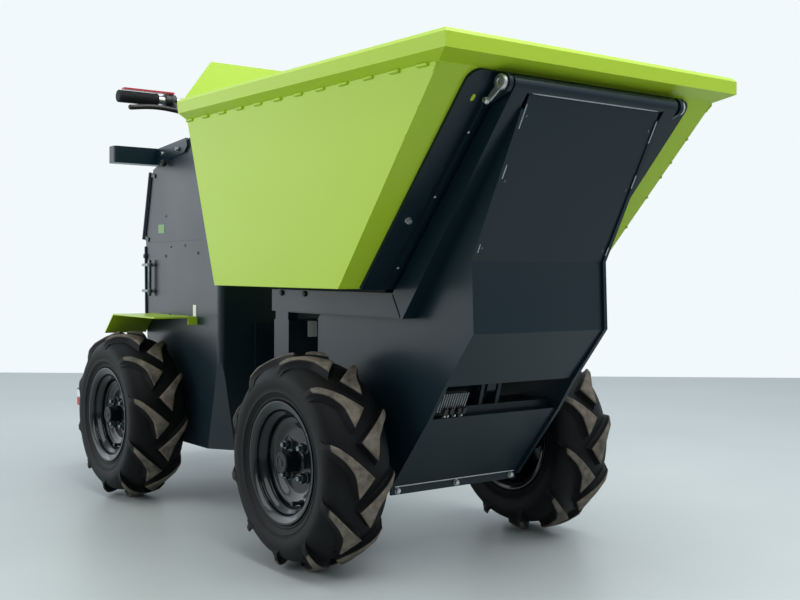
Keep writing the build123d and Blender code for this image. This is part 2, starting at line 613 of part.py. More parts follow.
def console_block(line, inset):
    """Solid console form, its front edges rounded and its toes cut, moved in by the inset."""
    half_width = CONSOLE_HALF_WIDTH - inset
    back, across, up = TOE_CUT
    with BuildPart() as block:
        rightwards(side_face(line, half_width), 2 * half_width)
        fillet(block.part.edges().filter_by(Axis.Z).group_by(Axis.X)[-1], FRONT_CORNER - inset)
        for _, side in SIDES:
            toe = Plane(
                origin=(fx(CONSOLE_FRONT_X), side * (CONSOLE_HALF_WIDTH - across), CONSOLE_BOTTOM),
                z_dir=(across * up, side * back * up, -back * across),
            )
            with BuildSketch(toe.offset(-inset)):
                Rectangle(900.0, 900.0)
            extrude(amount=90.0, mode=Mode.SUBTRACT)
    return block.part


# The hatch lies on the sloping rear face: local x to the right, y up the face.
(face_top_x, face_top_z), (face_foot_x, face_foot_z) = CONSOLE_LINE[4], CONSOLE_LINE[5]
FACE_LEAN = atan2(face_top_x - face_foot_x, face_top_z - face_foot_z)
hatch_plane = Plane(
    origin=(fx(face_foot_x), 0, face_foot_z), x_dir=(0, -1, 0),
    z_dir=(-cos(FACE_LEAN), 0, sin(FACE_LEAN)),
)
HATCH_GAP, HATCH_THICKNESS = 1.0, 8.0
HATCH_BOTTOM, HATCH_TOP = 4.0, 176.0
# Its hinge line stands beside the console's right edge: local z up the face, y inwards.
HINGE_Y = CONSOLE_HALF_WIDTH + 3.0
hinge_out = HATCH_GAP + HATCH_THICKNESS
hinge_line = Plane(
    origin=(fx(face_foot_x) - hinge_out * cos(FACE_LEAN), -HINGE_Y,
            face_foot_z + hinge_out * sin(FACE_LEAN)),
    x_dir=(0, -1, 0), z_dir=(sin(FACE_LEAN), 0, cos(FACE_LEAN)),
)
KNUCKLE_RADIUS, HINGE_WIRE_RADIUS = 4.0, 1.6
KNUCKLE_FOOT, KNUCKLE_HEAD = 12.0, 168.0         # the hatch's long knuckle, up the face


def hinge_disc(radius, station):
    """Round face about the hinge line at a station up the face."""
    with BuildSketch(hinge_line.offset(station)) as face:
        Circle(radius)
    return face.sketch


with BuildPart() as console_shell:
    add(console_block(CONSOLE_LINE, 0.0))
    add(console_block(console_cavity_line, CONSOLE_SHEET), mode=Mode.SUBTRACT)
    low, high, half = HATCH
    opening = [(-860.0, low + 8.0), (-980.0, low + 8.0), (-980.0, high - 8.0), (-860.0, high - 8.0)]
    cut(side_face(opening, half - 8.0), 2 * (half - 8.0))
    cut(
        side_disc(REAR_AXLE_X, TYRE_RADIUS, AXLE_RADIUS, CONSOLE_HALF_WIDTH + 1.0),
        2 * CONSOLE_HALF_WIDTH + 2.0,
    )
    for foot in (KNUCKLE_FOOT - 10.5, KNUCKLE_HEAD + 0.5):
        # fixed knuckle on a leaf that lies on the console's side
        extrude(hinge_disc(KNUCKLE_RADIUS, foot), amount=10.0)
        with BuildSketch(hinge_line.offset(foot)):
            with Locations((-1.5, 14.0)):
                Rectangle(3.0, 28.0)
        extrude(amount=10.0)
    wire_run = KNUCKLE_HEAD - KNUCKLE_FOOT + 21.0
    extrude(hinge_disc(HINGE_WIRE_RADIUS, KNUCKLE_FOOT - 10.5), amount=wire_run)
save(console_shell.part, "console_shell")

with BuildPart() as hatch:
    with BuildSketch(hatch_plane.offset(HATCH_GAP)):
        with Locations((0, (HATCH_BOTTOM + HATCH_TOP) / 2)):
            RectangleRounded(2 * HATCH[2] + 12.0, HATCH_TOP - HATCH_BOTTOM, 10.0)
    extrude(amount=HATCH_THICKNESS)
    knuckle_run = KNUCKLE_HEAD - KNUCKLE_FOOT
    with BuildSketch(hatch_plane.offset(HATCH_GAP)):
        with Locations((HATCH[2] + 11.0, (KNUCKLE_FOOT + KNUCKLE_HEAD) / 2)):
            Rectangle(16.0, knuckle_run)
    extrude(amount=HATCH_THICKNESS)
    extrude(hinge_disc(KNUCKLE_RADIUS, KNUCKLE_FOOT), amount=knuckle_run)
    hole = hinge_disc(HINGE_WIRE_RADIUS + RUNNING_GAP, KNUCKLE_FOOT)
    extrude(hole, amount=knuckle_run, mode=Mode.SUBTRACT)
save(hatch.part, "hatch")

with BuildPart() as neck:
    # mounting plate on the console, arms and the boss on the waist pin
    mount = [(CONSOLE_FRONT_X, NECK_FOOT - 16.0), (CONSOLE_FRONT_X + 10.0, NECK_FOOT - 16.0),
             (CONSOLE_FRONT_X + 10.0, NECK_TOP + 16.0), (CONSOLE_FRONT_X, NECK_TOP + 16.0)]
    rightwards(side_face(mount, 110.0), 220.0)
    web = [(CONSOLE_FRONT_X + 8.0, NECK_FOOT), (WAIST_X, NECK_FOOT),
           (WAIST_X, NECK_TOP), (CONSOLE_FRONT_X + 8.0, NECK_TOP)]
    for _, side in SIDES:
        rightwards(side_face(web, 30.0 if side > 0 else -20.0), 10.0)
    with BuildSketch(Plane.XY.offset(NECK_FOOT)):
        with Locations((fx(WAIST_X), 0)):
            Circle(WAIST_LUG_RADIUS)
    extrude(amount=NECK_TOP - NECK_FOOT)
    with BuildSketch(Plane.XY.offset(NECK_FOOT)):
        with Locations((fx(WAIST_X), 0)):
            Circle(WAIST_PIN_RADIUS + RUNNING_GAP)
    extrude(amount=NECK_TOP - NECK_FOOT, mode=Mode.SUBTRACT)
save(neck.part, "waist_neck")

with BuildPart() as axle_collars:
    for _, side in SIDES:
        top = CONSOLE_HALF_WIDTH + 8.0 if side > 0 else -CONSOLE_HALF_WIDTH
        rightwards(side_disc(REAR_AXLE_X, TYRE_RADIUS, 52.0, top), 8.0)
        cut(side_disc(REAR_AXLE_X, TYRE_RADIUS, AXLE_RADIUS, top), 8.0)
save(axle_collars.part, "rear_axle_collars")

with BuildPart() as battery:
    block = [(-900.0, 290.0), (-560.0, 290.0), (-560.0, 560.0), (-900.0, 560.0)]
    rightwards(side_face(block, 180.0), 360.0)
save(battery.part, "battery_block")

FENDER_TOP = 452.0
FENDER_OUTER_Y = 312.0
FENDER_SHEET = 3.0
for name, side in SIDES:
    with BuildPart() as fender:
        line = [(-640.0, FENDER_TOP - 20.0), (-640.0, FENDER_TOP), (-884.0, FENDER_TOP),
                (-938.0, 403.0)]
        strip = bent_strip(line, -FENDER_SHEET)
        top = FENDER_OUTER_Y if side > 0 else -CONSOLE_HALF_WIDTH
        rightwards(side_face(strip, top), FENDER_OUTER_Y - CONSOLE_HALF_WIDTH)
        # the front tab is only a short ear beside the console
        tab_cut = [(-660.0, FENDER_TOP - 40.0), (-620.0, FENDER_TOP - 40.0),
                   (-620.0, FENDER_TOP - 3.5), (-660.0, FENDER_TOP - 3.5)]
        ear = 24.0
        top = FENDER_OUTER_Y if side > 0 else -CONSOLE_HALF_WIDTH - ear
        cut(side_face(tab_cut, top), FENDER_OUTER_Y - CONSOLE_HALF_WIDTH - ear)
    save(fender.part, f"fender_{name}")

# ---- operator's rail, handlebar and levers --------------------------------
RAIL_X, RAIL_Z = -884.0, 853.0
RAIL_DEPTH, RAIL_DROP = 42.0, 42.0
RAIL_HALF_LENGTH = 316.0
BRACKET_PLATE = 6.0
with BuildPart() as back_rail:
    section = [(RAIL_X - RAIL_DEPTH / 2, RAIL_Z - RAIL_DROP / 2),
               (RAIL_X + RAIL_DEPTH / 2, RAIL_Z - RAIL_DROP / 2),
               (RAIL_X + RAIL_DEPTH / 2, RAIL_Z + RAIL_DROP / 2),
               (RAIL_X - RAIL_DEPTH / 2, RAIL_Z + RAIL_DROP / 2)]
    rightwards(side_face(section, RAIL_HALF_LENGTH), 2 * RAIL_HALF_LENGTH)
    fillet(back_rail.part.edges().filter_by(Axis.Z), 9.0)
save(back_rail.part, "back_rail")

for name, side in SIDES:
    with BuildPart() as bracket:
        top = CONSOLE_HALF_WIDTH + BRACKET_PLATE if side > 0 else -CONSOLE_HALF_WIDTH
        plate = [
            (RAIL_X + RAIL_DEPTH / 2, RAIL_Z - 15.0), (-842.0, 835.0), (-700.0, 852.0),
            (-685.0, 866.0), (-691.0, 886.0), (-855.0, 872.0), (RAIL_X + RAIL_DEPTH / 2, 870.0),
        ]
        rightwards(side_face(plate, top), BRACKET_PLATE)
    save(bracket.part, f"rail_bracket_{name}")

BAR_X, BAR_Z = -850.0, 996.0
BAR_RADIUS = 11.0
GRIP_INNER_Y, GRIP_OUTER_Y = 208.0, 314.0
BLADE_Z, BLADE_DROP = BAR_Z - 26.0, 10.0      # brake lever blades, top and depth
STEM_FOOT = (-640.0, 900.0)
STEM_Y = 80.0
with BuildPart() as handlebar:
    rightwards(side_disc(BAR_X, BAR_Z, BAR_RADIUS, GRIP_INNER_Y), 2 * GRIP_INNER_Y)
    for _, side in SIDES:
        foot = (fx(STEM_FOOT[0]), side * STEM_Y, STEM_FOOT[1])
        knee = (fx(BAR_X + 70.0), side * STEM_Y, BAR_Z - 4.0)
        end = (fx(BAR_X), side * STEM_Y, BAR_Z)
        with BuildLine() as path:
            FilletPolyline(foot, knee, end, radius=40.0)
        with BuildSketch(Plane(origin=foot, z_dir=path.line % 0)):
            Circle(BAR_RADIUS - 1.5)
        sweep(path=path.line)
    add(console_block(CONSOLE_LINE, 0.0), mode=Mode.SUBTRACT)
save(handlebar.part, "handlebar")

for name, side in SIDES:
    with BuildPart() as grip:
        top = GRIP_OUTER_Y if side > 0 else -GRIP_INNER_Y
        rightwards(side_disc(BAR_X, BAR_Z, 15.5, top), GRIP_OUTER_Y - GRIP_INNER_Y)
        chamfer(grip.part.edges().group_by(Axis.Y)[0 if side < 0 else -1], 2.5)
    save(grip.part, f"grip_{name}")
    with BuildPart() as brake_lever:
        # clamp on the bar, a hanging post and a blade that runs out below the grip
        top = 190.0 if side > 0 else -160.0
        rightwards(side_disc(BAR_X, BAR_Z, 17.0, top), 30.0)
        post = [(BAR_X + 4.0, BAR_Z - 6.0), (BAR_X + 16.0, BAR_Z), (BAR_X + 38.0, BLADE_Z),
                (BAR_X + 38.0, BLADE_Z - BLADE_DROP), (BAR_X + 14.0, BLADE_Z - BLADE_DROP)]
        rightwards(side_face(post, 178.0 if side > 0 else -162.0), 16.0)
        cut(side_disc(BAR_X, BAR_Z, BAR_RADIUS, top), 30.0)
        blade = [
            (BAR_X + 14.0, 162.0 * side), (BAR_X + 38.0, 162.0 * side), (BAR_X + 40.0, 262.0 * side),
            (BAR_X + 34.0, 288.0 * side), (BAR_X + 26.0, 286.0 * side), (BAR_X + 28.0, 258.0 * side),
            (BAR_X + 26.0, 186.0 * side), (BAR_X + 14.0, 178.0 * side),
        ]
        extrude(plan_face(blade, BLADE_Z - BLADE_DROP), amount=BLADE_DROP, dir=(0, 0, 1))
        with BuildSketch(Plane.XY.offset(BLADE_Z - BLADE_DROP - 1.0)):
            with Locations((fx(BAR_X + 30.0), 290.0 * side)):
                Circle(BLADE_DROP / 2 + 2.0)
        extrude(amount=BLADE_DROP + 2.0)
    save(brake_lever.part, f"brake_lever_{name}")

with BuildPart() as hold_lever:
    # red hold-to-run bar over the right grip
    blade = [(BAR_X - 9.0, -165.0), (BAR_X + 9.0, -165.0), (BAR_X + 8.0, -300.0),
             (BAR_X - 8.0, -300.0)]
    extrude(plan_face(blade, BAR_Z + 18.0), amount=4.0, dir=(0, 0, 1))
    post = [(BAR_X - 9.0, -165.0), (BAR_X + 9.0, -165.0), (BAR_X + 9.0, -178.0),
            (BAR_X - 9.0, -178.0)]
    extrude(plan_face(post, BAR_Z + 17.0), amount=3.0, dir=(0, 0, 1))
save(hold_lever.part, "hold_lever")

# ---- platform -------------------------------------------------------------
hinge_x, hinge_z = PLATFORM_HINGE


def console_back_x(z):
    """Rear face of the console at height z, in its lowest part."""
    (ax, az), (bx, bz) = CONSOLE_LINE[-2], CONSOLE_LINE[-1]
    return ax + (z - az) * (bx - ax) / (bz - az)


MOUNT_Y = 80.0
HINGE_PIN_RADIUS = 6.0
with BuildPart() as platform_mount:
    for _, side in SIDES:
        arm = [
            (console_back_x(200.0), 200.0), (hinge_x, hinge_z - 16.0), (hinge_x - 14.0, hinge_z),
            (hinge_x, hinge_z + 14.0), (console_back_x(290.0), 290.0),
        ]
        top = MOUNT_Y + 4.0 if side > 0 else -MOUNT_Y + 4.0
        rightwards(side_face(arm, top), 8.0)
    rightwards(side_disc(hinge_x, hinge_z, HINGE_PIN_RADIUS, 112.0), 224.0)
save(platform_mount.part, "platform_mount")

DECK_THICKNESS = 4.0
RIM_DROP = 46.0
DECK_CORNER = 12.0
with BuildPart() as platform:
    front, rear = hinge_x - 22.0, hinge_x - PLATFORM_DEPTH
    half = PLATFORM_HALF_WIDTH
    deck = [(front, -half), (front, half), (rear + DECK_CORNER, half), (rear, half - DECK_CORNER),
            (rear, -half + DECK_CORNER), (rear + DECK_CORNER, -half)]
    extrude(plan_face(deck, hinge_z), amount=DECK_THICKNESS, dir=(0, 0, 1))
    lip = half - 4.0
    inner_deck = [(front - 4.0, -lip), (front - 4.0, lip), (rear + DECK_CORNER, lip),
                  (rear + 4.0, half - DECK_CORNER), (rear + 4.0, -half + DECK_CORNER),
                  (rear + DECK_CORNER, -lip)]
    extrude(plan_face(deck, hinge_z - RIM_DROP + DECK_THICKNESS), amount=RIM_DROP, dir=(0, 0, 1))
    extrude(
        plan_face(inner_deck, hinge_z - RIM_DROP), amount=RIM_DROP, dir=(0, 0, 1),
        mode=Mode.SUBTRACT,
    )
    for _, side in SIDES:
        strap = [(front - 2.0, hinge_z - 10.0), (hinge_x, hinge_z - 12.0), (hinge_x + 12.0, hinge_z),
                 (hinge_x, hinge_z + 12.0), (front - 2.0, hinge_z + DECK_THICKNESS)]
        top = MOUNT_Y + 24.0 if side > 0 else -MOUNT_Y - 16.0
        rightwards(side_face(strap, top), 8.0)
        cut(side_disc(hinge_x, hinge_z, HINGE_PIN_RADIUS + RUNNING_GAP, top), 8.0)
save(platform.part, "platform")
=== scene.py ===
"""Looks of a small articulated site dumper: finishes, small parts, floor and light.

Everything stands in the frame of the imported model: metres, X forwards, Y to the
machine's left, Z up, the ground at Z 0. The pieces are laid out in millimetres, with
X counted from the front axle, and add_piece turns them into metres in the frame.
"""
import json
from math import atan2, cos, hypot, pi, radians, sin

import bpy
import numpy as np
from mathutils import Matrix, Vector


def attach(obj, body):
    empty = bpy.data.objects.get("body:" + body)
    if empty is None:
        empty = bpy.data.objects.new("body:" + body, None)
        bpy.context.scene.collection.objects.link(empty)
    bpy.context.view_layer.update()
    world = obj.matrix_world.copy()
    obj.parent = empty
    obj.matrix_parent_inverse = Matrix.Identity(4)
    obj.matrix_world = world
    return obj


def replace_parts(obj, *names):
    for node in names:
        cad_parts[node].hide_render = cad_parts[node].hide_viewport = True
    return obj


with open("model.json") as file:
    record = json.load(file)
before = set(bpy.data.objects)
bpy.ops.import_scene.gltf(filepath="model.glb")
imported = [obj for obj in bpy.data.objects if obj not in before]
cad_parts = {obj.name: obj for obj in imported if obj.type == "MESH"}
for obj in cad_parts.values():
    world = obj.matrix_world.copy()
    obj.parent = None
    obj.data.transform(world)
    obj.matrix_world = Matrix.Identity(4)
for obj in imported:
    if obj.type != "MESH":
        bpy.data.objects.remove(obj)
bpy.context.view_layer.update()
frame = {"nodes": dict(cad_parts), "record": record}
scene = bpy.context.scene
scene.view_settings.view_transform = "Standard"

MM = 0.001
FRONT_AXLE_X = 0.383          # metres, in the frame
WHEELBASE = 833.0
HALF_TRACK = 287.0            # from the machine's middle to a tyre's
TYRE_RADIUS = 205.0
# each wheel: its name, its axle's station, and its side, -1 right and 1 left
WHEELS = (
    ("front_right", 0.0, -1), ("front_left", 0.0, 1),
    ("rear_right", -WHEELBASE, -1), ("rear_left", -WHEELBASE, 1),
)
SIDES = (("right", -1), ("left", 1))
FORWARDS, ACROSS, UPRIGHT = (1, 0, 0), (0, 1, 0), (0, 0, 1)


# ---- materials ---------------------------------------------------------------------
def srgb(code):
    """A hex colour as linear red, green, blue and alpha."""
    parts = [int(code[i:i + 2], 16) / 255 for i in (1, 3, 5)]
    return tuple(c / 12.92 if c <= 0.04045 else ((c + 0.055) / 1.055) ** 2.4 for c in parts) + (1,)


def add_node(tree, kind, inputs=(), **settings):
    """One node: settings are its properties, inputs its sockets' values or what feeds them.

    A colour mix is fed at its sockets 0, 6 and 7 and read at its output 2.
    """
    made = tree.nodes.new(kind)
    for name, value in settings.items():
        setattr(made, name, value)
    for name, value in dict(inputs).items():
        if isinstance(value, bpy.types.NodeSocket):
            tree.links.new(value, made.inputs[name])
        else:
            made.inputs[name].default_value = value
    return made


def new_material(name):
    """An empty node material: the material, its tree and Object coordinates."""
    made = bpy.data.materials.new(name)
    made.use_nodes = True
    made.node_tree.nodes.clear()
    place = add_node(made.node_tree, "ShaderNodeTexCoord").outputs["Object"]
    return made, made.node_tree, place


def coated_steel(name, colour, dust, roughness, level, grain_mm, coat=0.0):
    """Powder coat on sheet steel: an orange-peel skin, slightly uneven gloss, dust low down.

    The peel of a real coat is 1 to 2 mm across; grain_mm is drawn coarser so that it shows.
    Gloss and dust come in patches about 170 mm across, 6 to the metre, and the dust
    thins out between 0.1 and 0.5 m above the ground.
    """
    made, tree, place = new_material(name)
    blotch = add_node(tree, "ShaderNodeTexNoise", {"Vector": place, "Scale": 6.0, "Detail": 4.0})
    fine = add_node(
        tree, "ShaderNodeTexNoise", {"Vector": place, "Scale": 1 / (grain_mm * MM), "Detail": 1.0}
    )
    height = add_node(tree, "ShaderNodeSeparateXYZ", {"Vector": place})
    low = add_node(
        tree, "ShaderNodeMapRange",
        {"Value": height.outputs["Z"], "From Min": 0.1, "From Max": 0.5, "To Min": 1.0, "To Max": 0.0},
    )
    patchy = add_node(
        tree, "ShaderNodeMapRange",
        {"Value": blotch.outputs["Fac"], "From Min": 0.42, "From Max": 0.72, "To Max": 0.5},
    )
    dusty = add_node(
        tree, "ShaderNodeMath", {0: low.outputs["Result"], 1: patchy.outputs["Result"]},
        operation="MULTIPLY",
    )
    paint = add_node(
        tree, "ShaderNodeMix",
        {0: dusty.outputs["Value"], 6: srgb(colour), 7: srgb(dust)}, data_type="RGBA",
    )
    gloss = add_node(
        tree, "ShaderNodeMapRange",
        {"Value": blotch.outputs["Fac"], "To Min": roughness - 0.05, "To Max": roughness + 0.07},
    )
    peel = add_node(
        tree, "ShaderNodeBump",
        {"Height": fine.outputs["Fac"], "Strength": 0.12, "Distance": 0.3 * MM},
    )
    surface = add_node(tree, "ShaderNodeBsdfPrincipled", {
        "Base Color": paint.outputs[2], "Roughness": gloss.outputs["Result"],
        "Specular IOR Level": level, "Coat Weight": coat, "Coat Roughness": 0.06,
        "Normal": peel.outputs["Normal"],
    })
    add_node(tree, "ShaderNodeOutputMaterial", {"Surface": surface.outputs[0]})
    return made


# Lime polyester powder coat: clean, fairly glossy, reads saturated where it is lit.
lime_coat = coated_steel("lime_powder_coat", "#A8C92A", "#8E9E5A", 0.34, 0.36, 2.5)
# Anthracite powder coat: satin, blue-grey, dark in the shade.
anthracite_coat = coated_steel("anthracite_powder_coat", "#0B2029", "#2A3437", 0.31, 0.3, 2.0)
# The console's coat is the same grey, a shade lighter.
console_coat = coated_steel("console_powder_coat", "#12242D", "#2C3438", 0.34, 0.45, 2.0)
# Gear and axle castings under the same paint: a sand-cast grain, drawn 4 mm coarse to show.
cast_paint = coated_steel("painted_cast_iron", "#0D151B", "#3A3B39", 0.5, 0.3, 4.0)
# Rims are painted glossier, with a clear top layer.
rim_paint = coated_steel("rim_gloss_paint", "#070E13", "#1C2022", 0.16, 0.2, 3.0, 0.3)


def banded_deck():
    """Deck coat, with a white and a red reflective tape round the platform's rim.

    The rim's outer skin is where a point lies beyond the platform's sides, its rear
    edge or its cut corners. This is worked out on the sizes of the coordinates,
    because the platform is all behind the origin. The height picks the tape. The
    deck's grit is 1.4 mm across, 700 to the metre, and its wear comes every 33 mm.
    """
    made, tree, place = new_material("deck_coat_with_tapes")
    size = add_node(tree, "ShaderNodeVectorMath", {0: place}, operation="ABSOLUTE").outputs["Vector"]
    at = add_node(tree, "ShaderNodeSeparateXYZ", {"Vector": size})
    skin = 0.0
    # for a side, the rear edge and a cut corner: the sizes summed, and where the skin begins
    for way, reach in ((ACROSS, 0.2716), (FORWARDS, 0.8666), ((1, 1, 0), 1.1265)):
        along = add_node(tree, "ShaderNodeVectorMath", {0: size, 1: way}, operation="DOT_PRODUCT")
        past = add_node(
            tree, "ShaderNodeMath", {0: along.outputs["Value"], 1: reach}, operation="GREATER_THAN"
        )
        skin = add_node(
            tree, "ShaderNodeMath", {0: skin, 1: past.outputs["Value"]}, operation="MAXIMUM"
        ).outputs["Value"]
    hinge_edge = 0.690            # the tapes stop short of the hinge
    off_hinge = add_node(
        tree, "ShaderNodeMath", {0: at.outputs["X"], 1: hinge_edge}, operation="GREATER_THAN"
    )
    outside = add_node(
        tree, "ShaderNodeMath", {0: skin, 1: off_hinge.outputs["Value"]}, operation="MULTIPLY"
    )
    beads = add_node(tree, "ShaderNodeTexVoronoi", {"Vector": place, "Scale": 700.0})
    wear = add_node(tree, "ShaderNodeTexNoise", {"Vector": place, "Scale": 30.0, "Detail": 4.0})
    paint = add_node(
        tree, "ShaderNodeMix", {0: wear.outputs["Fac"], 6: srgb("#181E22"), 7: srgb("#2A2E30")},
        data_type="RGBA",
    ).outputs[2]
    # middle height, half height and colour of the white tape and of the red one below it
    for middle, half, colour in ((0.2165, 0.0105, "#D9DFE1"), (0.1955, 0.0095, "#B5241C")):
        level = add_node(
            tree, "ShaderNodeMath", {0: at.outputs["Z"], 1: middle, 2: half}, operation="COMPARE"
        )
        taped = add_node(
            tree, "ShaderNodeMath", {0: outside.outputs["Value"], 1: level.outputs["Value"]},
            operation="MULTIPLY",
        )
        paint = add_node(
            tree, "ShaderNodeMix", {0: taped.outputs["Value"], 6: paint, 7: srgb(colour)},
            data_type="RGBA",
        ).outputs[2]
    relief = add_node(tree, "ShaderNodeBump", {
        "Height": beads.outputs["Distance"], "Strength": 0.2, "Distance": 0.2 * MM,
    })
    surface = add_node(tree, "ShaderNodeBsdfPrincipled", {
        "Base Color": paint, "Roughness": 0.45, "Normal": relief.outputs["Normal"],
    })
    add_node(tree, "ShaderNodeOutputMaterial", {"Surface": surface.outputs[0]})
    return made


# Deck coat on the platform, taped round its rim.
deck_coat = banded_deck()


def plain_metal(name, colour, roughness, brush_mm, along):
    """Bright metal with fine brush or grinding lines along one axis, brush_mm apart."""
    made, tree, place = new_material(name)
    stretch = [1 / (brush_mm * MM)] * 3
    stretch["XYZ".index(along)] *= 0.03
    lines = add_node(tree, "ShaderNodeMapping", {"Vector": place, "Scale": stretch})
    scratch = add_node(
        tree, "ShaderNodeTexNoise", {"Vector": lines.outputs["Vector"], "Scale": 1.0, "Detail": 2.0}
    )
    gloss = add_node(
        tree, "ShaderNodeMapRange",
        {"Value": scratch.outputs["Fac"], "To Min": roughness - 0.08, "To Max": roughness + 0.12},
    )
    ridge = add_node(
        tree, "ShaderNodeBump",
        {"Height": scratch.outputs["Fac"], "Strength": 0.15, "Distance": 0.1 * MM},
    )
    surface = add_node(tree, "ShaderNodeBsdfPrincipled", {
        "Base Color": srgb(colour), "Metallic": 1.0, "Roughness": gloss.outputs["Result"],
        "Normal": ridge.outputs["Normal"],
    })
    add_node(tree, "ShaderNodeOutputMaterial", {"Surface": surface.outputs[0]})
    return made


# Zinc plating on bolts: pale, slightly blue, satin.
zinc_plate = plain_metal("zinc_plated_steel", "#C9CCCB", 0.38, 1.5, "Z")
# Stainless tube of the handlebar, brushed along its length.
brushed_tube = plain_metal("brushed_stainless", "#C4C6C7", 0.34, 1.2, "Y")
# Darker zinc-nickel plating: wheel nuts, latch and pivot fittings.
dark_zinc = plain_metal("zinc_nickel_plated_steel", "#6E7679", 0.3, 1.5, "Z")
# Bright metal on the cover's weld beads, rippled: a painted highlight that stands for the glints along
# the painted beads.
weld_glint_finish = plain_metal("weld_glint_metal", "#A7AEB1", 0.26, 2.0, "Y")
# Hard chrome on the piston rod, ground and polished.
hard_chrome = plain_metal("hard_chrome", "#D8DADC", 0.12, 1.0, "Y")
# Die-cast aluminium of the controller, a dull grain.
cast_aluminium = plain_metal("cast_aluminium", "#8D9194", 0.5, 2.0, "Y")


def moulded(name, colour, roughness, grain_mm, depth_mm, level=0.5):
    """Moulded plastic or rubber: an eroded grain from the tool, a tone that drifts over 50 mm.

    The grain of a real tool is finer; grain_mm is drawn coarser so that it shows.
    """
    made, tree, place = new_material(name)
    grain = add_node(
        tree, "ShaderNodeTexVoronoi", {"Vector": place, "Scale": 1 / (grain_mm * MM)},
        feature="SMOOTH_F1",
    )
    cloud = add_node(tree, "ShaderNodeTexNoise", {"Vector": place, "Scale": 20.0, "Detail": 3.0})
    shade = add_node(
        tree, "ShaderNodeMapRange", {"Value": cloud.outputs["Fac"], "To Min": 0.85, "To Max": 1.15}
    )
    tone = add_node(
        tree, "ShaderNodeHueSaturation", {"Color": srgb(colour), "Value": shade.outputs["Result"]}
    )
    relief = add_node(
        tree, "ShaderNodeBump",
        {"Height": grain.outputs["Distance"], "Strength": 0.3, "Distance": depth_mm * MM},
    )
    surface = add_node(tree, "ShaderNodeBsdfPrincipled", {
        "Base Color": tone.outputs["Color"], "Roughness": roughness, "Specular IOR Level": level,
        "Normal": relief.outputs["Normal"],
    })
    add_node(tree, "ShaderNodeOutputMaterial", {"Surface": surface.outputs[0]})
    return made


# Thermoplastic rubber of the grips, matt and ribbed.
grip_rubber = moulded("grip_rubber", "#17181A", 0.7, 1.6, 0.3, 0.3)
# Red polyamide of the hold-to-run bar and the lever caps.
red_polyamide = moulded("red_polyamide", "#B3131B", 0.35, 1.2, 0.05)
# Black polyamide of levers and clamps.
black_polyamide = moulded("black_polyamide", "#121315", 0.45, 1.2, 0.08)
# Polypropylene battery case.
battery_case = moulded("polypropylene", "#2A2D30", 0.5, 1.8, 0.1)
# Matt white polyester film of the blank labels.
label_film = moulded("white_label_film", "#E9ECEB", 0.45, 1.5, 0.02)
# Green film of the small blank label on the console.
green_film = moulded("green_label_film", "#6F9A55", 0.45, 1.5, 0.02)


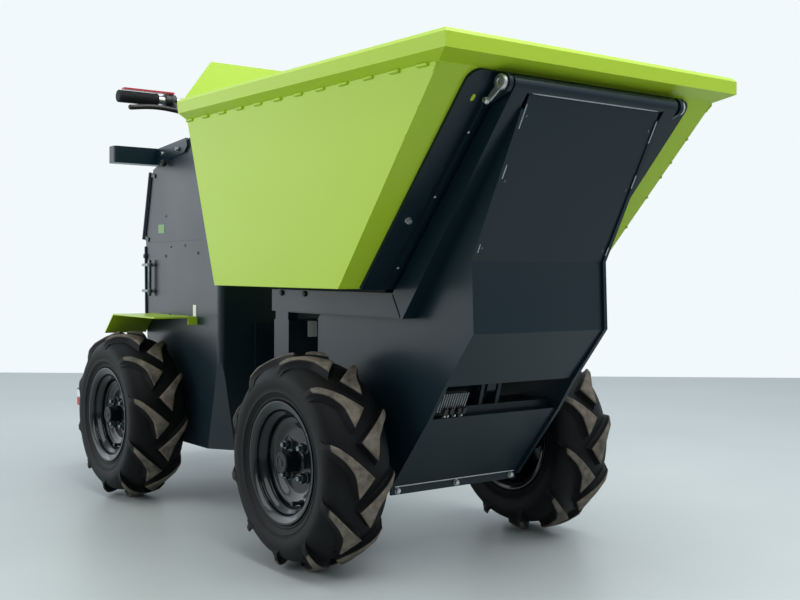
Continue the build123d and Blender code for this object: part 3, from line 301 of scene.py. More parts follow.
def tread_rubber():
    """Carbon-black tyre rubber: dusty in its hollows, scuffed pale brown on the lug tops.

    The distance from the nearer axle tells the lug tops from the carcass. What the
    tops fall towards the shoulders is added back: the fall grows with the fourth
    power of the distance from the tyre's middle. Scuffs come every 26 mm, 38 to the
    metre, patches of dust every 70 mm and pores every 3 mm.
    """
    made, tree, place = new_material("tyre_rubber")
    flat = add_node(tree, "ShaderNodeVectorMath", {0: place, 1: (1, 0, 1)}, operation="MULTIPLY")
    to_axles = []
    for station in (0.0, -WHEELBASE):
        axle = (FRONT_AXLE_X + station * MM, 0.0, TYRE_RADIUS * MM)
        to_axles.append(add_node(
            tree, "ShaderNodeVectorMath", {0: flat.outputs["Vector"], 1: axle}, operation="DISTANCE"
        ).outputs["Value"])
    reach = add_node(tree, "ShaderNodeMath", {0: to_axles[0], 1: to_axles[1]}, operation="MINIMUM")
    size = add_node(tree, "ShaderNodeVectorMath", {0: place}, operation="ABSOLUTE")
    at = add_node(tree, "ShaderNodeSeparateXYZ", {"Vector": size.outputs["Vector"]})
    off_middle = add_node(
        tree, "ShaderNodeMath", {0: at.outputs["Y"], 1: HALF_TRACK * MM}, operation="SUBTRACT"
    ).outputs["Value"]
    square = add_node(
        tree, "ShaderNodeMath", {0: off_middle, 1: off_middle}, operation="MULTIPLY"
    ).outputs["Value"]
    fourth = add_node(tree, "ShaderNodeMath", {0: square, 1: square}, operation="MULTIPLY")
    fall_rate = 874.0             # metres of fall for the fourth power of metres
    levelled = add_node(tree, "ShaderNodeMath", {
        0: fourth.outputs["Value"], 1: fall_rate, 2: reach.outputs["Value"],
    }, operation="MULTIPLY_ADD")
    # a lug is scuffed down to 2 mm below its top, and not at all from 4.5 mm below it
    worn = add_node(tree, "ShaderNodeMapRange", {
        "Value": levelled.outputs["Value"], "From Min": (TYRE_RADIUS - 4.5) * MM,
        "From Max": (TYRE_RADIUS - 2.0) * MM,
    })
    scuff = add_node(tree, "ShaderNodeTexNoise", {
        "Vector": place, "Scale": 38.0, "Detail": 6.0, "Roughness": 0.65,
    })
    rubbed = add_node(tree, "ShaderNodeMapRange", {
        "Value": scuff.outputs["Fac"], "From Min": 0.30, "From Max": 0.62, "To Min": 0.25,
    })
    scuffed = add_node(
        tree, "ShaderNodeMath", {0: worn.outputs["Result"], 1: rubbed.outputs["Result"]},
        operation="MULTIPLY",
    ).outputs["Value"]
    dust = add_node(tree, "ShaderNodeTexNoise", {
        "Vector": place, "Scale": 14.0, "Detail": 5.0, "Roughness": 0.6,
    })
    dusty = add_node(tree, "ShaderNodeMapRange", {
        "Value": dust.outputs["Fac"], "From Min": 0.45, "From Max": 0.75, "To Max": 0.3,
    })
    black = add_node(
        tree, "ShaderNodeMix",
        {0: dusty.outputs["Result"], 6: srgb("#06080A"), 7: srgb("#1E2123")}, data_type="RGBA",
    )
    tone = add_node(
        tree, "ShaderNodeMix",
        {0: scuffed, 6: black.outputs[2], 7: srgb("#777065")}, data_type="RGBA",
    )
    gloss = add_node(tree, "ShaderNodeMapRange", {"Value": scuffed, "To Min": 0.58, "To Max": 0.85})
    pores = add_node(tree, "ShaderNodeTexNoise", {"Vector": place, "Scale": 350.0, "Detail": 3.0})
    relief = add_node(tree, "ShaderNodeBump", {
        "Height": pores.outputs["Fac"], "Strength": 0.35, "Distance": 0.5 * MM,
    })
    surface = add_node(tree, "ShaderNodeBsdfPrincipled", {
        "Base Color": tone.outputs[2], "Roughness": gloss.outputs["Result"],
        "Specular IOR Level": 0.2, "Normal": relief.outputs["Normal"],
    })
    add_node(tree, "ShaderNodeOutputMaterial", {"Surface": surface.outputs[0]})
    return made


# Tyre rubber, dusty and scuffed by the yard's ground.
tyre_rubber = tread_rubber()

# the finish of each material slot of the model
NODE_FINISH = {
    "skip_enamel": lime_coat,
    "chassis_coat": anthracite_coat,
    "console_coat": console_coat,
    "tread_rubber": tyre_rubber,
    "rim_coat": rim_paint,
    "hard_chrome": hard_chrome,
    "grip_rubber": grip_rubber,
    "red_plastic": red_polyamide,
    "lever_coat": black_polyamide,
    "battery_case": battery_case,
    "cast_alloy": cast_aluminium,
    "drive_case": cast_paint,
    "bright_bar": brushed_tube,
    "deck_coat": deck_coat,
}
for piece in frame["record"]["subparts"]:
    drawn = frame["nodes"][piece["node"]]
    drawn.data.materials.clear()
    drawn.data.materials.append(NODE_FINISH[piece["material_slot"]])


# ---- shapes: points in millimetres, X from the front axle, and faces ---------------
def square_to(axis):
    """Two unit vectors square to the axis, and the axis itself, right-handed."""
    axis = np.asarray(axis, float) / np.linalg.norm(axis)
    first = np.cross(np.eye(3)[np.argmin(np.abs(axis))], axis)
    first /= np.linalg.norm(first)
    return first, np.cross(axis, first), axis


def circle_about(axis, sides, phase=0.0):
    """Unit vectors square to the axis at equal angles round it, and the axis itself."""
    first, second, axis = square_to(axis)
    angle = phase + 2 * pi * np.arange(sides) / sides
    return np.cos(angle)[:, None] * first + np.sin(angle)[:, None] * second, axis


def walled(spot):
    """Faces between the rows of a grid of point numbers, each row a closed ring."""
    after = np.roll(spot, -1, axis=1)
    return np.stack([spot[:-1], after[:-1], after[1:], spot[1:]], axis=-1).reshape(-1, 4).tolist()


def closed_form(rows, sides):
    """Faces of a form between two poles: point 0, rows of rings, and the last point."""
    spot = 1 + np.arange(rows * sides).reshape(rows, sides)
    first, last = spot[0], spot[-1]
    start = np.stack([np.zeros(sides, int), np.roll(first, -1), first], axis=-1)
    end = np.stack([np.full(sides, rows * sides + 1), last, np.roll(last, -1)], axis=-1)
    return start.tolist() + walled(spot) + end.tolist()


def turned(profile, centre, axis, sides=24, phase=0.0):
    """A turned form, closed at both poles.

    Each profile point is a radius and a distance along the axis; it goes round the
    axis at equal angles. Few sides make a hexagon head of the same profile.
    """
    profile, centre = np.asarray(profile, float), np.asarray(centre, float)
    ring, axis = circle_about(axis, sides, phase)
    walls = profile[1:-1]
    points = centre + walls[:, 0, None, None] * ring + walls[:, 1, None, None] * axis
    points = np.vstack([
        [centre + profile[0, 1] * axis], points.reshape(-1, 3), [centre + profile[-1, 1] * axis],
    ])
    return points, closed_form(len(walls), sides)


def moved_in(line, step):
    """A closed outline, anticlockwise, each side moved inwards by the step."""
    line = np.asarray(line, float)
    before, after = line - np.roll(line, 1, axis=0), np.roll(line, -1, axis=0) - line
    before /= np.linalg.norm(before, axis=1)[:, None]
    after /= np.linalg.norm(after, axis=1)[:, None]
    turn = np.stack([-before[:, 1] - after[:, 1], before[:, 0] + after[:, 0]], axis=1)
    return line + step * turn / (1 + (before * after).sum(axis=1))[:, None]


def plate(line, origin, across, up, thickness, bevel):
    """A flat plate with broken edges: its outline in the plane of across and up.

    Four rings go from the back to the front: moved in, full, full and moved in.
    """
    across, up = np.asarray(across, float), np.asarray(up, float)
    out = np.cross(across, up)
    small = moved_in(line, bevel)
    rings = [(small, 0.0), (line, bevel), (line, thickness - bevel), (small, thickness)]
    points = np.vstack([
        np.asarray(origin) + np.asarray(ring, float) @ np.stack([across, up]) + height * out
        for ring, height in rings
    ])
    spot = np.arange(len(points)).reshape(4, -1)
    return points, walled(spot) + [tuple(spot[0][::-1]), tuple(spot[3])]


def rounded(width, height, radius, steps=5):
    """Outline of a rectangle with round corners, about its middle, anticlockwise.

    A quarter circle of equal steps stands at each corner, a radius in from its sides.
    """
    corner = np.array(((1, 1), (-1, 1), (-1, -1), (1, -1)))
    middle = corner * (width / 2 - radius, height / 2 - radius)
    angle = (np.arange(4)[:, None] + np.arange(steps + 1) / steps) * pi / 2
    arc = radius * np.stack([np.cos(angle), np.sin(angle)], axis=-1)
    return (middle[:, None] + arc).reshape(-1, 2)


def bar(path, radius, sides=14):
    """A round bar along a path, its ends domed.

    A ring stands square to the path at each point; the frame is carried along
    without twist, and three smaller rings at each end follow a quarter circle.
    """
    path = np.asarray(path, float)
    ahead = np.gradient(path, axis=0)
    ahead /= np.linalg.norm(ahead, axis=1)[:, None]
    domes = [(sin(a), cos(a)) for a in (0.35, 0.8, 1.2)]
    stations = [(path[0] - ahead[0] * radius * back, ahead[0], scale) for scale, back in domes]
    stations += [(point, way, 1.0) for point, way in zip(path, ahead)]
    stations += [(path[-1] + ahead[-1] * radius * on, ahead[-1], scale) for scale, on in domes[::-1]]
    first = square_to(ahead[0])[0]
    angle = 2 * pi * np.arange(sides) / sides
    points = [path[0] - ahead[0] * radius]
    for point, way, scale in stations:
        first = first - way * (first @ way)
        first /= np.linalg.norm(first)
        ring = np.cos(angle)[:, None] * first + np.sin(angle)[:, None] * np.cross(way, first)
        points.extend(point + radius * scale * ring)
    points.append(path[-1] + ahead[-1] * radius)
    return np.array(points), closed_form(len(stations), sides)


def hooped(section, centre, sides):
    """A ring about Y: a closed section of radius and offset goes round at equal angles.

    The section runs so that its outermost point moves towards +Y.
    """
    section = np.asarray(section, float)
    ring, axis = circle_about(ACROSS, sides)
    points = (
        np.asarray(centre, float) + section[:, 0, None, None] * ring
        + section[:, 1, None, None] * axis
    ).reshape(-1, 3)
    spot = np.arange(len(points)).reshape(len(section), sides)
    after, on = np.roll(spot, -1, axis=1), np.roll(spot, -1, axis=0)
    faces = np.stack([spot, after, np.roll(after, -1, axis=0), on], axis=-1).reshape(-1, 4)
    return points, faces.tolist()


def add_piece(name, shapes, finish, body, crisp=35.0):
    """One mesh of all the shapes, in metres, that rides on a body.

    Edges sharper than crisp degrees stay sharp; the rest is shaded smooth.
    """
    points, faces, base = [], [], 0
    for some, sides in shapes:
        points.append(some)
        faces += [tuple(int(i) + base for i in face) for face in sides]
        base += len(some)
    points = np.vstack(points) * MM + np.array((FRONT_AXLE_X, 0.0, 0.0))
    mesh = bpy.data.meshes.new(name)
    mesh.from_pydata(points.tolist(), [], faces)
    mesh.polygons.foreach_set("use_smooth", np.ones(len(faces), bool))
    mesh.set_sharp_from_angle(angle=radians(crisp))
    mesh.materials.append(finish)
    made = bpy.data.objects.new(name, mesh)
    scene.collection.objects.link(made)
    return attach(made, body)


def hex_bolt(centre, axis, across, height):
    """A plain washer and a hexagon head, across its flats, with its corners chamfered."""
    wide = across * 0.68      # radius of the washer
    washer = [(0, 0), (wide, 0), (wide, 1.0), (wide * 0.95, 1.6), (0, 1.6)]
    reach = across / 2 / cos(pi / 6)
    head = [
        (0, 1.2), (reach, 1.2), (reach, 1.4 + height * 0.8), (reach * 0.84, 1.6 + height),
        (0, 1.6 + height),
    ]
    return [turned(washer, centre, axis, 20), turned(head, centre, axis, 6, 0.3)]


def button_screw(centre, axis, radius):
    """A low domed head with a round socket, drawn as one profile."""
    dome = [(radius * cos(a), 0.3 + radius * 0.55 * sin(a)) for a in (0.0, 0.4, 0.8, 1.15)]
    floor = 0.3 + radius * 0.1
    profile = [(0, 0), (radius, 0)] + dome + [(radius * 0.4, floor), (0, floor)]
    return [turned(profile, centre, axis, 18)]


def weld(start, end, radius, seed):
    """A weld bead of ripples 0.7 of its radius apart, each a little thicker or thinner.

    Its ends are rounded: the radius goes with the root of one minus the twelfth power
    of the distance from the bead's middle, over half its length.
    """
    start, end = np.asarray(start, float), np.asarray(end, float)
    length = np.linalg.norm(end - start)
    count = max(int(length / (radius * 0.7)), 6)
    along = np.linspace(0.0, 1.0, count)
    wobble = np.random.default_rng(seed).uniform(0.85, 1.12, count)
    ends = np.sqrt(np.clip(1 - (2 * along - 1) ** 12, 0.02, 1))
    ripples = np.stack([radius * wobble * ends, along * length], axis=1)
    return turned(np.vstack([(0.0, 0.0), ripples, (0.0, length)]), start, end - start, 10)


# ---- tyres -------------------------------------------------------------------------
LUG_COUNT = 10                # on each side of the tyre
OUTER_PHASE, INNER_PHASE = radians(0.5), radians(18.5)
# the carcass under the tread and the tops of the lugs: distance from the middle, radius
TREAD_SURFACE = ((0.0, 189.0), (20.0, 189.0), (42.0, 186.0), (60.0, 178.5), (69.0, 162.0))
LUG_TOPS = ((0.0, 205.0), (20.0, 205.0), (35.0, 203.0), (55.0, 197.0), (66.0, 187.0), (71.0, 171.0))
LUG_HALF_SPAN = 71.0          # from the tyre's middle to a lug's shoulder end
LUG_BEVEL = 1.6
# a lug's skirt, from its bevel down to its foot: step outwards, share of the depth
LUG_SKIRT = ((0.3, 0.09), (1.2, 0.45), (2.2, 0.72), (4.6, 0.95), (6.5, 1.15))
# both long edges of a lug from its shoulder end: distance round the tyre, from the middle
LEADING_EDGE = ((67.0, 71.0), (48.0, 50.6), (30.0, 31.0), (11.0, 9.8), (-7.0, -10.4))
TRAILING_EDGE = ((56.0, 71.0), (48.0, 64.5), (26.0, 45.7), (0.5, 28.4), (-21.5, 23.5), (-41.0, 18.8))
# tyre half section, from the bead's toe out to the crown: radius, distance from the middle
HALF_SECTION = (
    (102.2, 40.0), (102.4, 56.5), (104.5, 58.6), (114.0, 58.6), (117.5, 59.6), (119.5, 62.3),
    (121.5, 62.7), (123.0, 61.5), (127.0, 63.6), (131.0, 65.6), (133.0, 67.3), (135.0, 66.6),
    (142.0, 69.0), (150.0, 70.4), (157.0, 70.8), (163.0, 70.0), (169.0, 67.0), (175.0, 62.2),
    (180.0, 55.0), (184.0, 46.0), (187.0, 35.0), (188.6, 20.0), (189.0, 7.0),
)


def evenly(line, count):
    """Points at equal steps along an open line."""
    line = np.asarray(line, float)
    run = np.r_[0.0, np.cumsum(np.linalg.norm(np.diff(line, axis=0), axis=1))]
    steps = np.linspace(0.0, run[-1], count)
    return np.stack([np.interp(steps, run, line[:, k]) for k in (0, 1)], axis=1)


def lug_form(turn, hand, wheel):
    """One lug: a patch between its two long edges, and a skirt down to the carcass.

    The patch's rows go from the shoulder to the middle. Its rim is bevelled, then
    flares to a filleted foot inside the carcass. A distance round the tyre, over the
    tyre's radius, is an angle.
    """
    rows, columns = 15, 6
    share = np.linspace(0.0, 1.0, columns)[None, :, None]
    leading, trailing = evenly(LEADING_EDGE, rows), evenly(TRAILING_EDGE, rows)
    patch = leading[:, None] * (1 - share) + trailing[:, None] * share
    spot = np.arange(rows * columns).reshape(rows, columns)
    loop = np.r_[spot[0, :-1], spot[:-1, -1], spot[-1, :0:-1], spot[:0:-1, 0]]
    flat = patch.reshape(-1, 2)
    rim = flat[loop]
    flat[loop] = moved_in(rim, LUG_BEVEL)
    levels = [(flat, np.interp(np.abs(flat[:, 1]), *zip(*LUG_TOPS)))]
    top = np.interp(np.abs(rim[:, 1]), *zip(*LUG_TOPS))
    depth = top - np.interp(np.abs(rim[:, 1]), *zip(*TREAD_SURFACE))
    for step, fall in LUG_SKIRT:
        ring = moved_in(rim, -step)
        ring[:, 1] = np.clip(ring[:, 1], -LUG_HALF_SPAN, LUG_HALF_SPAN)
        levels.append((ring, top - fall * depth))
    points = []
    for line, radius in levels:
        angle = turn + line[:, 0] / TYRE_RADIUS
        points.append(np.stack([
            wheel[0] + radius * np.cos(angle), wheel[1] + hand * line[:, 1],
            wheel[2] + radius * np.sin(angle),
        ], axis=1))
    tops = [spot[:-1, :-1], spot[:-1, 1:], spot[1:, 1:], spot[1:, :-1]]
    faces = np.stack(tops, axis=-1).reshape(-1, 4).tolist()
    count, base = len(loop), len(flat)
    ring = np.vstack([loop, base + np.arange(len(LUG_SKIRT) * count).reshape(-1, count)])
    after = np.roll(ring, -1, axis=1)
    faces += np.stack([ring[:-1], ring[1:], after[1:], after[:-1]], axis=-1).reshape(-1, 4).tolist()
    faces.append(tuple(ring[-1][::-1]))
    if hand > 0:
        faces = [face[::-1] for face in faces]
    return np.vstack(points), faces


TYRE_SECTION = [(r, -w) for r, w in HALF_SECTION] + [(r, w) for r, w in HALF_SECTION[::-1]]
for corner, station, side in WHEELS:
    wheel = (station, side * HALF_TRACK, TYRE_RADIUS)
    shapes = [hooped(TYRE_SECTION, wheel, 120)]
    for hand, phase in ((side, OUTER_PHASE), (-side, INNER_PHASE)):
        shapes += [lug_form(phase + i * 2 * pi / LUG_COUNT, hand, wheel) for i in range(LUG_COUNT)]
    tyre = add_piece(f"lugged_tyre_{corner}", shapes, tyre_rubber, f"wheel_{corner}", 50.0)
    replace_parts(tyre, f"tyre_{corner}")

# ---- rims --------------------------------------------------------------------------
# pressed rim, each corner as radius, distance outwards from the wheel's middle, rounding:
# the flange from the tyre's side over its rolled edge and down to the well
FLANGE = (
    (89.0, 42.0, 3.0), (101.6, 50.0, 3.0), (101.6, 57.2, 1.2), (103.6, 58.8, 1.0),
    (113.5, 59.0, 1.0), (115.5, 60.2, 1.0), (115.5, 62.6, 0.9), (114.2, 63.0, 0.5),
    (111.5, 62.8, 0.8), (104.5, 60.6, 3.0), (98.4, 57.0, 3.0), (98.0, 50.0, 4.0),
    (85.3, 42.0, 5.0),
)
# stub shaft, hub and the back of the disc, then its front and the hub's end
DISC_BACK = (
    (0.0, -100.0, 0.0), (12.5, -100.0, 0.0), (12.5, -40.0, 0.0), (30.0, -40.0, 0.0),
    (30.0, 19.0, 3.0), (62.0, 19.0, 4.0), (75.0, 25.0, 4.0), (84.6, 27.0, 1.5),
)
DISC_FRONT = (
    (85.0, 31.0, 4.0), (75.0, 29.0, 3.0), (62.0, 23.0, 5.0), (23.0, 24.4, 3.0),
    (19.2, 29.0, 3.0), (19.0, 57.4, 0.6), (0.0, 57.6, 0.0),
)


def eased(corners, steps=5):
    """The line through the corners, each rounded by a curve tangent to both its sides.

    The curve starts and ends the rounding away from its corner: it is the parabola
    whose two tangents there meet at the corner.
    """
    points = []
    t = np.linspace(0.0, 1.0, steps)[:, None]
    for i, (radius, height, ease) in enumerate(corners):
        here = np.array((radius, height))
        if not ease:
            points.append(here)
            continue
        sides = [np.array(corners[j][:2]) - here for j in (i - 1, i + 1)]
        start, end = (here + side / np.linalg.norm(side) * ease for side in sides)
        points.extend((1 - t) ** 2 * start + 2 * t * (1 - t) * here + t ** 2 * end)
    return points


RIM_LINE = eased(
    DISC_BACK + tuple((r, -w, ease) for r, w, ease in FLANGE[::-1]) + FLANGE + DISC_FRONT
)
for corner, station, side in WHEELS:
    wheel = (station, side * HALF_TRACK, TYRE_RADIUS)
    pressed = turned(RIM_LINE, wheel, (0, side, 0), 96)
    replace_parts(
        add_piece(f"pressed_rim_{corner}", [pressed], rim_paint, f"wheel_{corner}"),
        f"rim_{corner}",
    )

# ---- wheel hardware ----------------------------------------------------------------
NUT_CIRCLE, NUT_TURNS = 40.0, (45, 135, 225, 315)
VALVE_CIRCLE, VALVE_TURN = 80.0, -1.1
# faces that carry them, outwards from the wheel's middle
DISC_FACE, VALVE_FACE, HUB_FACE = 24.2, 34.0, 57.6
# profiles: radius, height off the face
STUD_END = [(0, 10), (5.5, 10), (5.5, 17), (4.4, 18.2), (0, 18.2)]
HUB_CAP = [
    (0, 0), (19.6, 0), (19.6, 2.2), (18.0, 3.4), (13.5, 3.4), (12.6, 2.4), (6.4, 2.4),
    (5.6, 3.8), (0, 3.8),
]
VALVE = [(0, 0), (5, 0), (5, 6), (3.6, 8), (3.6, 18), (4.4, 18.4), (4.4, 25), (0, 26)]


def on_wheel(station, side, circle, turn, off):
    """A point on a circle about the axle, off the wheel's middle on its outer side."""
    return (
        station + circle * cos(turn), side * (HALF_TRACK + off), TYRE_RADIUS + circle * sin(turn)
    )


for corner, station, side in WHEELS:
    out = (0, side, 0)
    shapes = []
    for turn in NUT_TURNS:
        foot = on_wheel(station, side, NUT_CIRCLE, radians(turn), DISC_FACE)
        shapes += hex_bolt(foot, out, 17, 10)
        shapes.append(turned(STUD_END, foot, out, 14))
    add_piece(f"wheel_nuts_{corner}", shapes, dark_zinc, f"wheel_{corner}")
    cap = turned(HUB_CAP, on_wheel(station, side, 0.0, 0.0, HUB_FACE), out, 32)
    add_piece(f"hub_cap_{corner}", [cap], cast_paint, f"wheel_{corner}")
    valve = turned(VALVE, on_wheel(station, side, VALVE_CIRCLE, VALVE_TURN, VALVE_FACE), out, 16)
    add_piece(f"tyre_valve_{corner}", [valve], black_polyamide, f"wheel_{corner}")

# ---- skip: stitch and tack welds, tip frame fixings, pivot pins --------------------
# the front wall leans forwards and widens from its foot at the skip's floor
FOOT_X, FOOT_Z, FOOT_HALF_WIDTH = 140.0, 532.0, 314.0
WALL_RISE, WALL_RUN, WALL_SPREAD = 356.0, 304.0, 20.0
WALL_SLANT = 468.0            # from foot to lip along the slope
LIP_Y, LIP_Z = 336.0, 886.5   # where the side walls meet the lip
STITCH_HALF = 15
LEAN = atan2(WALL_RUN, WALL_RISE)
WALL_UP = np.array((sin(LEAN), 0.0, cos(LEAN)))
WALL_OUT = np.array((cos(LEAN), 0.0, -sin(LEAN)))
PIVOT_X, PIVOT_Z = 458, 866   # tipping axis
KEEPER_Y, PIN_HEAD_Y = 214.2, 216.0
TACK = [(0, 0), (3.2, 0), (2.8, 1.4), (1.4, 2.2), (0, 2.4)]
PIN_HEAD = [(0, 0), (13, 0), (13, 5.5), (11.6, 7), (6, 7), (5, 5.8), (0, 5.8)]
# keeper plate beside the pin head, along its arm and across it
KEEPER = ((-10, -7), (9, -7), (11, 0), (9, 7), (-38, 5.5), (-42, 0), (-38, -5.5))


def on_wall(up, out, y):
    """A point up the skip's front wall, out from its face, at y."""
    return np.array((FOOT_X, y, FOOT_Z)) + up * WALL_UP + out * WALL_OUT


for name, side in SIDES:
    beads = []
    for x in np.linspace(-405.0, 405.0, 12):
        start, end = (x - STITCH_HALF, side * LIP_Y, LIP_Z), (x + STITCH_HALF, side * LIP_Y, LIP_Z)
        beads.append(weld(start, end, 3.4, int(x) + 500))
    beads.append(weld((428, side * 333, 872), (442, side * 336, 887), 3.0, 7))
    add_piece(f"lip_stitch_welds_{name}", beads, lime_coat, "skip")
    tacks = []
    for up in (165, 242, 292, 328, 384):
        corner_y = side * (FOOT_HALF_WIDTH + up * WALL_SPREAD / WALL_SLANT)
        tacks.append(turned(TACK, on_wall(up, 0.0, corner_y), WALL_OUT, 12))
    add_piece(f"corner_tack_welds_{name}", tacks, lime_coat, "skip")
    # the tip frame's faces stand 6 and 14 out from the wall
    fixings = hex_bolt(on_wall(164, 6, side * 244.0), WALL_OUT, 10, 5)
    slot = plate(rounded(7, 13, 3.4), on_wall(416, 5.7, side * 240.0), ACROSS, WALL_UP, 0.5, 0.1)
    add_piece(f"tip_frame_slot_{name}", [slot], lime_coat, "skip")
    for up in (62, 222, 356):
        fixings += button_screw(on_wall(up, 14, side * 220.0), WALL_OUT, 2.6)
    add_piece(f"tip_frame_bolts_{name}", fixings, zinc_plate, "skip")
    keeper = [(along, -side * across) for along, across in KEEPER][::-side]
    rise = (side * 0.6, 0.0, side * -0.8)
    pivot = [
        turned(PIN_HEAD, (PIVOT_X, side * PIN_HEAD_Y, PIVOT_Z), (0, side, 0), 28),
        plate(keeper, (PIVOT_X, side * KEEPER_Y, PIVOT_Z), (0.8, 0.0, 0.6), rise, 4.0, 0.8),
    ]
    pivot += hex_bolt((424, side * 218.0, 841), (0, side, 0), 10, 5)
    add_piece(f"pivot_pin_keeper_{name}", pivot, zinc_plate, "skip")

# ---- front chassis: cover welds, bolts and labels ----------------------------------
RAIL_SIDE, COVER_SIDE = 200.0, 160.0
# beads down the cover's joint with its cheek, each from its head to its foot, X and Z
COVER_BEADS = (((457, 838), (437, 798)), ((410, 743), (398, 719)), ((345, 612), (337, 596)))
# the cover's long slope, from its foot up
SLOPE_RISE, SLOPE_RUN = 270.0, 135.0
SLOPE_OUT = np.array((SLOPE_RISE, 0.0, -SLOPE_RUN)) / hypot(SLOPE_RISE, SLOPE_RUN)
SLOPE_UP = np.array((SLOPE_RUN, 0.0, SLOPE_RISE)) / hypot(SLOPE_RISE, SLOPE_RUN)


def side_strip(line, y, side, thickness, bevel):
    """A strip on the right or left face at y.

    Its outline in X and Z is anticlockwise as seen from the right, and is turned over
    for the left.
    """
    line = [(-side * x, z) for x, z in line][::-side]
    return plate(line, (0, side * y, 0), (-side, 0, 0), UPRIGHT, thickness, bevel)


cover, rail, rail_shade_strips = [weld((463.5, -157, 853.5), (463.5, 157, 853.5), 1.5, 21)], [], []
for _, side in SIDES:
    y = side * (RAIL_SIDE + 0.2)
    rail.append(weld((147, y, 522), (171, y, 480), 1.6, 30 + side))
    y = side * (COVER_SIDE + 0.3)
    for head, foot in COVER_BEADS:
        cover.append(weld((head[0], y, head[1]), (foot[0], y, foot[1]), 1.3, head[0] + side))
    # a black strip along the rail's lower edge on each side: painted shadow, for the shade line under
    # the rail
    rail_shade_outline = ((-222, 476.8), (169, 476.8), (170, 479.2), (-222, 479.2))
    rail_shade_strips.append(side_strip(rail_shade_outline, RAIL_SIDE - 0.3, side, 0.8, 0.3))
# the cover's beads are drawn in bright metal: painted highlight for their glints
add_piece("cover_weld_beads", cover, weld_glint_finish, "front_chassis")
add_piece("rail_weld_beads", rail, anthracite_coat, "front_chassis")
# black strips under the rails: painted shadow
add_piece("rail_painted_shadow_strip", rail_shade_strips, black_polyamide, "front_chassis")
screws = []
for _, side in SIDES:
    foot = np.array((327.0, side * 151.0, 582.0))
    for up in (25.0, 150.0, 265.0):
        screws += button_screw(foot + up * SLOPE_UP, SLOPE_OUT, 2.4)
add_piece("cover_screws", screws, dark_zinc, "front_chassis")
edge = ((-158, -1.1), (158, -1.1), (158, 1.1), (-158, 1.1))
flange = [plate(edge, (93.8, 0, 153.0), ACROSS, UPRIGHT, 1.8, 0.4)]
for y in (-146.0, 0.0, 146.0):
    flange += hex_bolt((94.0, y, 145.0), FORWARDS, 9.5, 5)
add_piece("flange_bolts_and_edge", flange, zinc_plate, "front_chassis")
plugs = [
    plate(rounded(9, 12, 2), (214, y, 311), ACROSS, (0.36, 0, 0.93), 10.0, 0.8)
    for y in (-132.0, -118.0, -100.0, -88.0)
]
add_piece("controller_plugs", plugs, black_polyamide, "front_chassis")
pins = [
    turned([(0, 0), (2.2, 0), (2.2, 7), (1.4, 8), (0, 8)], (214, y, 299), (1, 0, 0.2), 10)
    for y in (-134.0, -126.0, -110.0, -94.0)
]
add_piece("controller_terminals", pins, zinc_plate, "front_chassis")
label = plate(rounded(24, 34, 3), (-221.9, -138, 440), ACROSS, UPRIGHT, 0.5, 0.15)
add_piece("blank_label_waist", [label], label_film, "front_chassis")
studs = [
    turned(
        [(0, 0), (6, 0), (6, 3), (4.5, 4.4), (0, 4.4)], (x, side * (RAIL_SIDE - 0.2), 517.0),
        (0, side, 0), 14,
    )
    for _, side in SIDES for x in (-244.0, -153.0)
]
add_piece("buffer_studs", studs, cast_paint, "front_chassis")

# ---- rear frame: console, fenders and handlebar ------------------------------------
CONSOLE_SIDE, COLUMN_SIDE, DOOR_ROD_Y = 200.0, 206.0, 201.5
FENDER_Y, FENDER_Z = 215.0, 452.0        # the screws on top of the fenders
LATCH_X, LATCH_Y = -892, -209.5          # the latch's rod
# a black disc with a shallow dip, put where the console's side has a hole: painted shade for the
# hole's dark inside
HOLE_SHADE_DISC = [(0, 0), (4.6, 0), (4.2, 0.9), (2.6, 1.1), (2.2, 0.5), (0, 0.4)]
KNOB = [(0, 0), (7, 0), (8.5, 3), (8.5, 9), (6, 12), (0, 12.5)]
HINGE_BARREL = [(0, 0), (6, 0), (6.6, 3), (6.6, 8), (6, 11), (0, 11)]
LATCH_COLLAR = [(0, 0), (6.4, 0), (6.8, 1.2), (6.8, 8), (6, 9), (0, 9)]
side_screws, knob_and_hole_shade, strips = [], [], []
for _, side in SIDES:
    out = (0, side, 0)
    for x, z in ((-785, 622), (-706, 624), (-815, 700)):
        side_screws += button_screw((x, side * CONSOLE_SIDE, z), out, 3.4)
    # the side's two holes, drawn as black discs: painted shade
    for x, z in ((-814, 599), (-636, 605)):
        knob_and_hole_shade.append(turned(HOLE_SHADE_DISC, (x, side * CONSOLE_SIDE, z), out, 18))
    for x, z in ((-820, 857), (-734, 862)):
        side_screws += hex_bolt((x, side * COLUMN_SIDE, z), out, 10, 5)
    for x in (-760.0, -652.0):
        side_screws += button_screw((x, side * FENDER_Y, FENDER_Z), UPRIGHT, 3.6)
    knob_and_hole_shade.append(turned(KNOB, (-806, side * COLUMN_SIDE, 832), out, 20))
    y = side * DOOR_ROD_Y
    strips.append(bar([(-935, y, 622), (-933, y, 540), (-930.5, y, 446)], 3.4))
    strips.append(turned(HINGE_BARREL, (-934.3, y, 594), (0.02, 0, 1), 16))
    seam = ((-924, 633.6), (-632, 635.8), (-632, 637.4), (-924, 635.2))
    strips.append(side_strip(seam, CONSOLE_SIDE - 0.2, side, 0.7, 0.2))
add_piece("console_screws", side_screws, dark_zinc, "rear_frame")
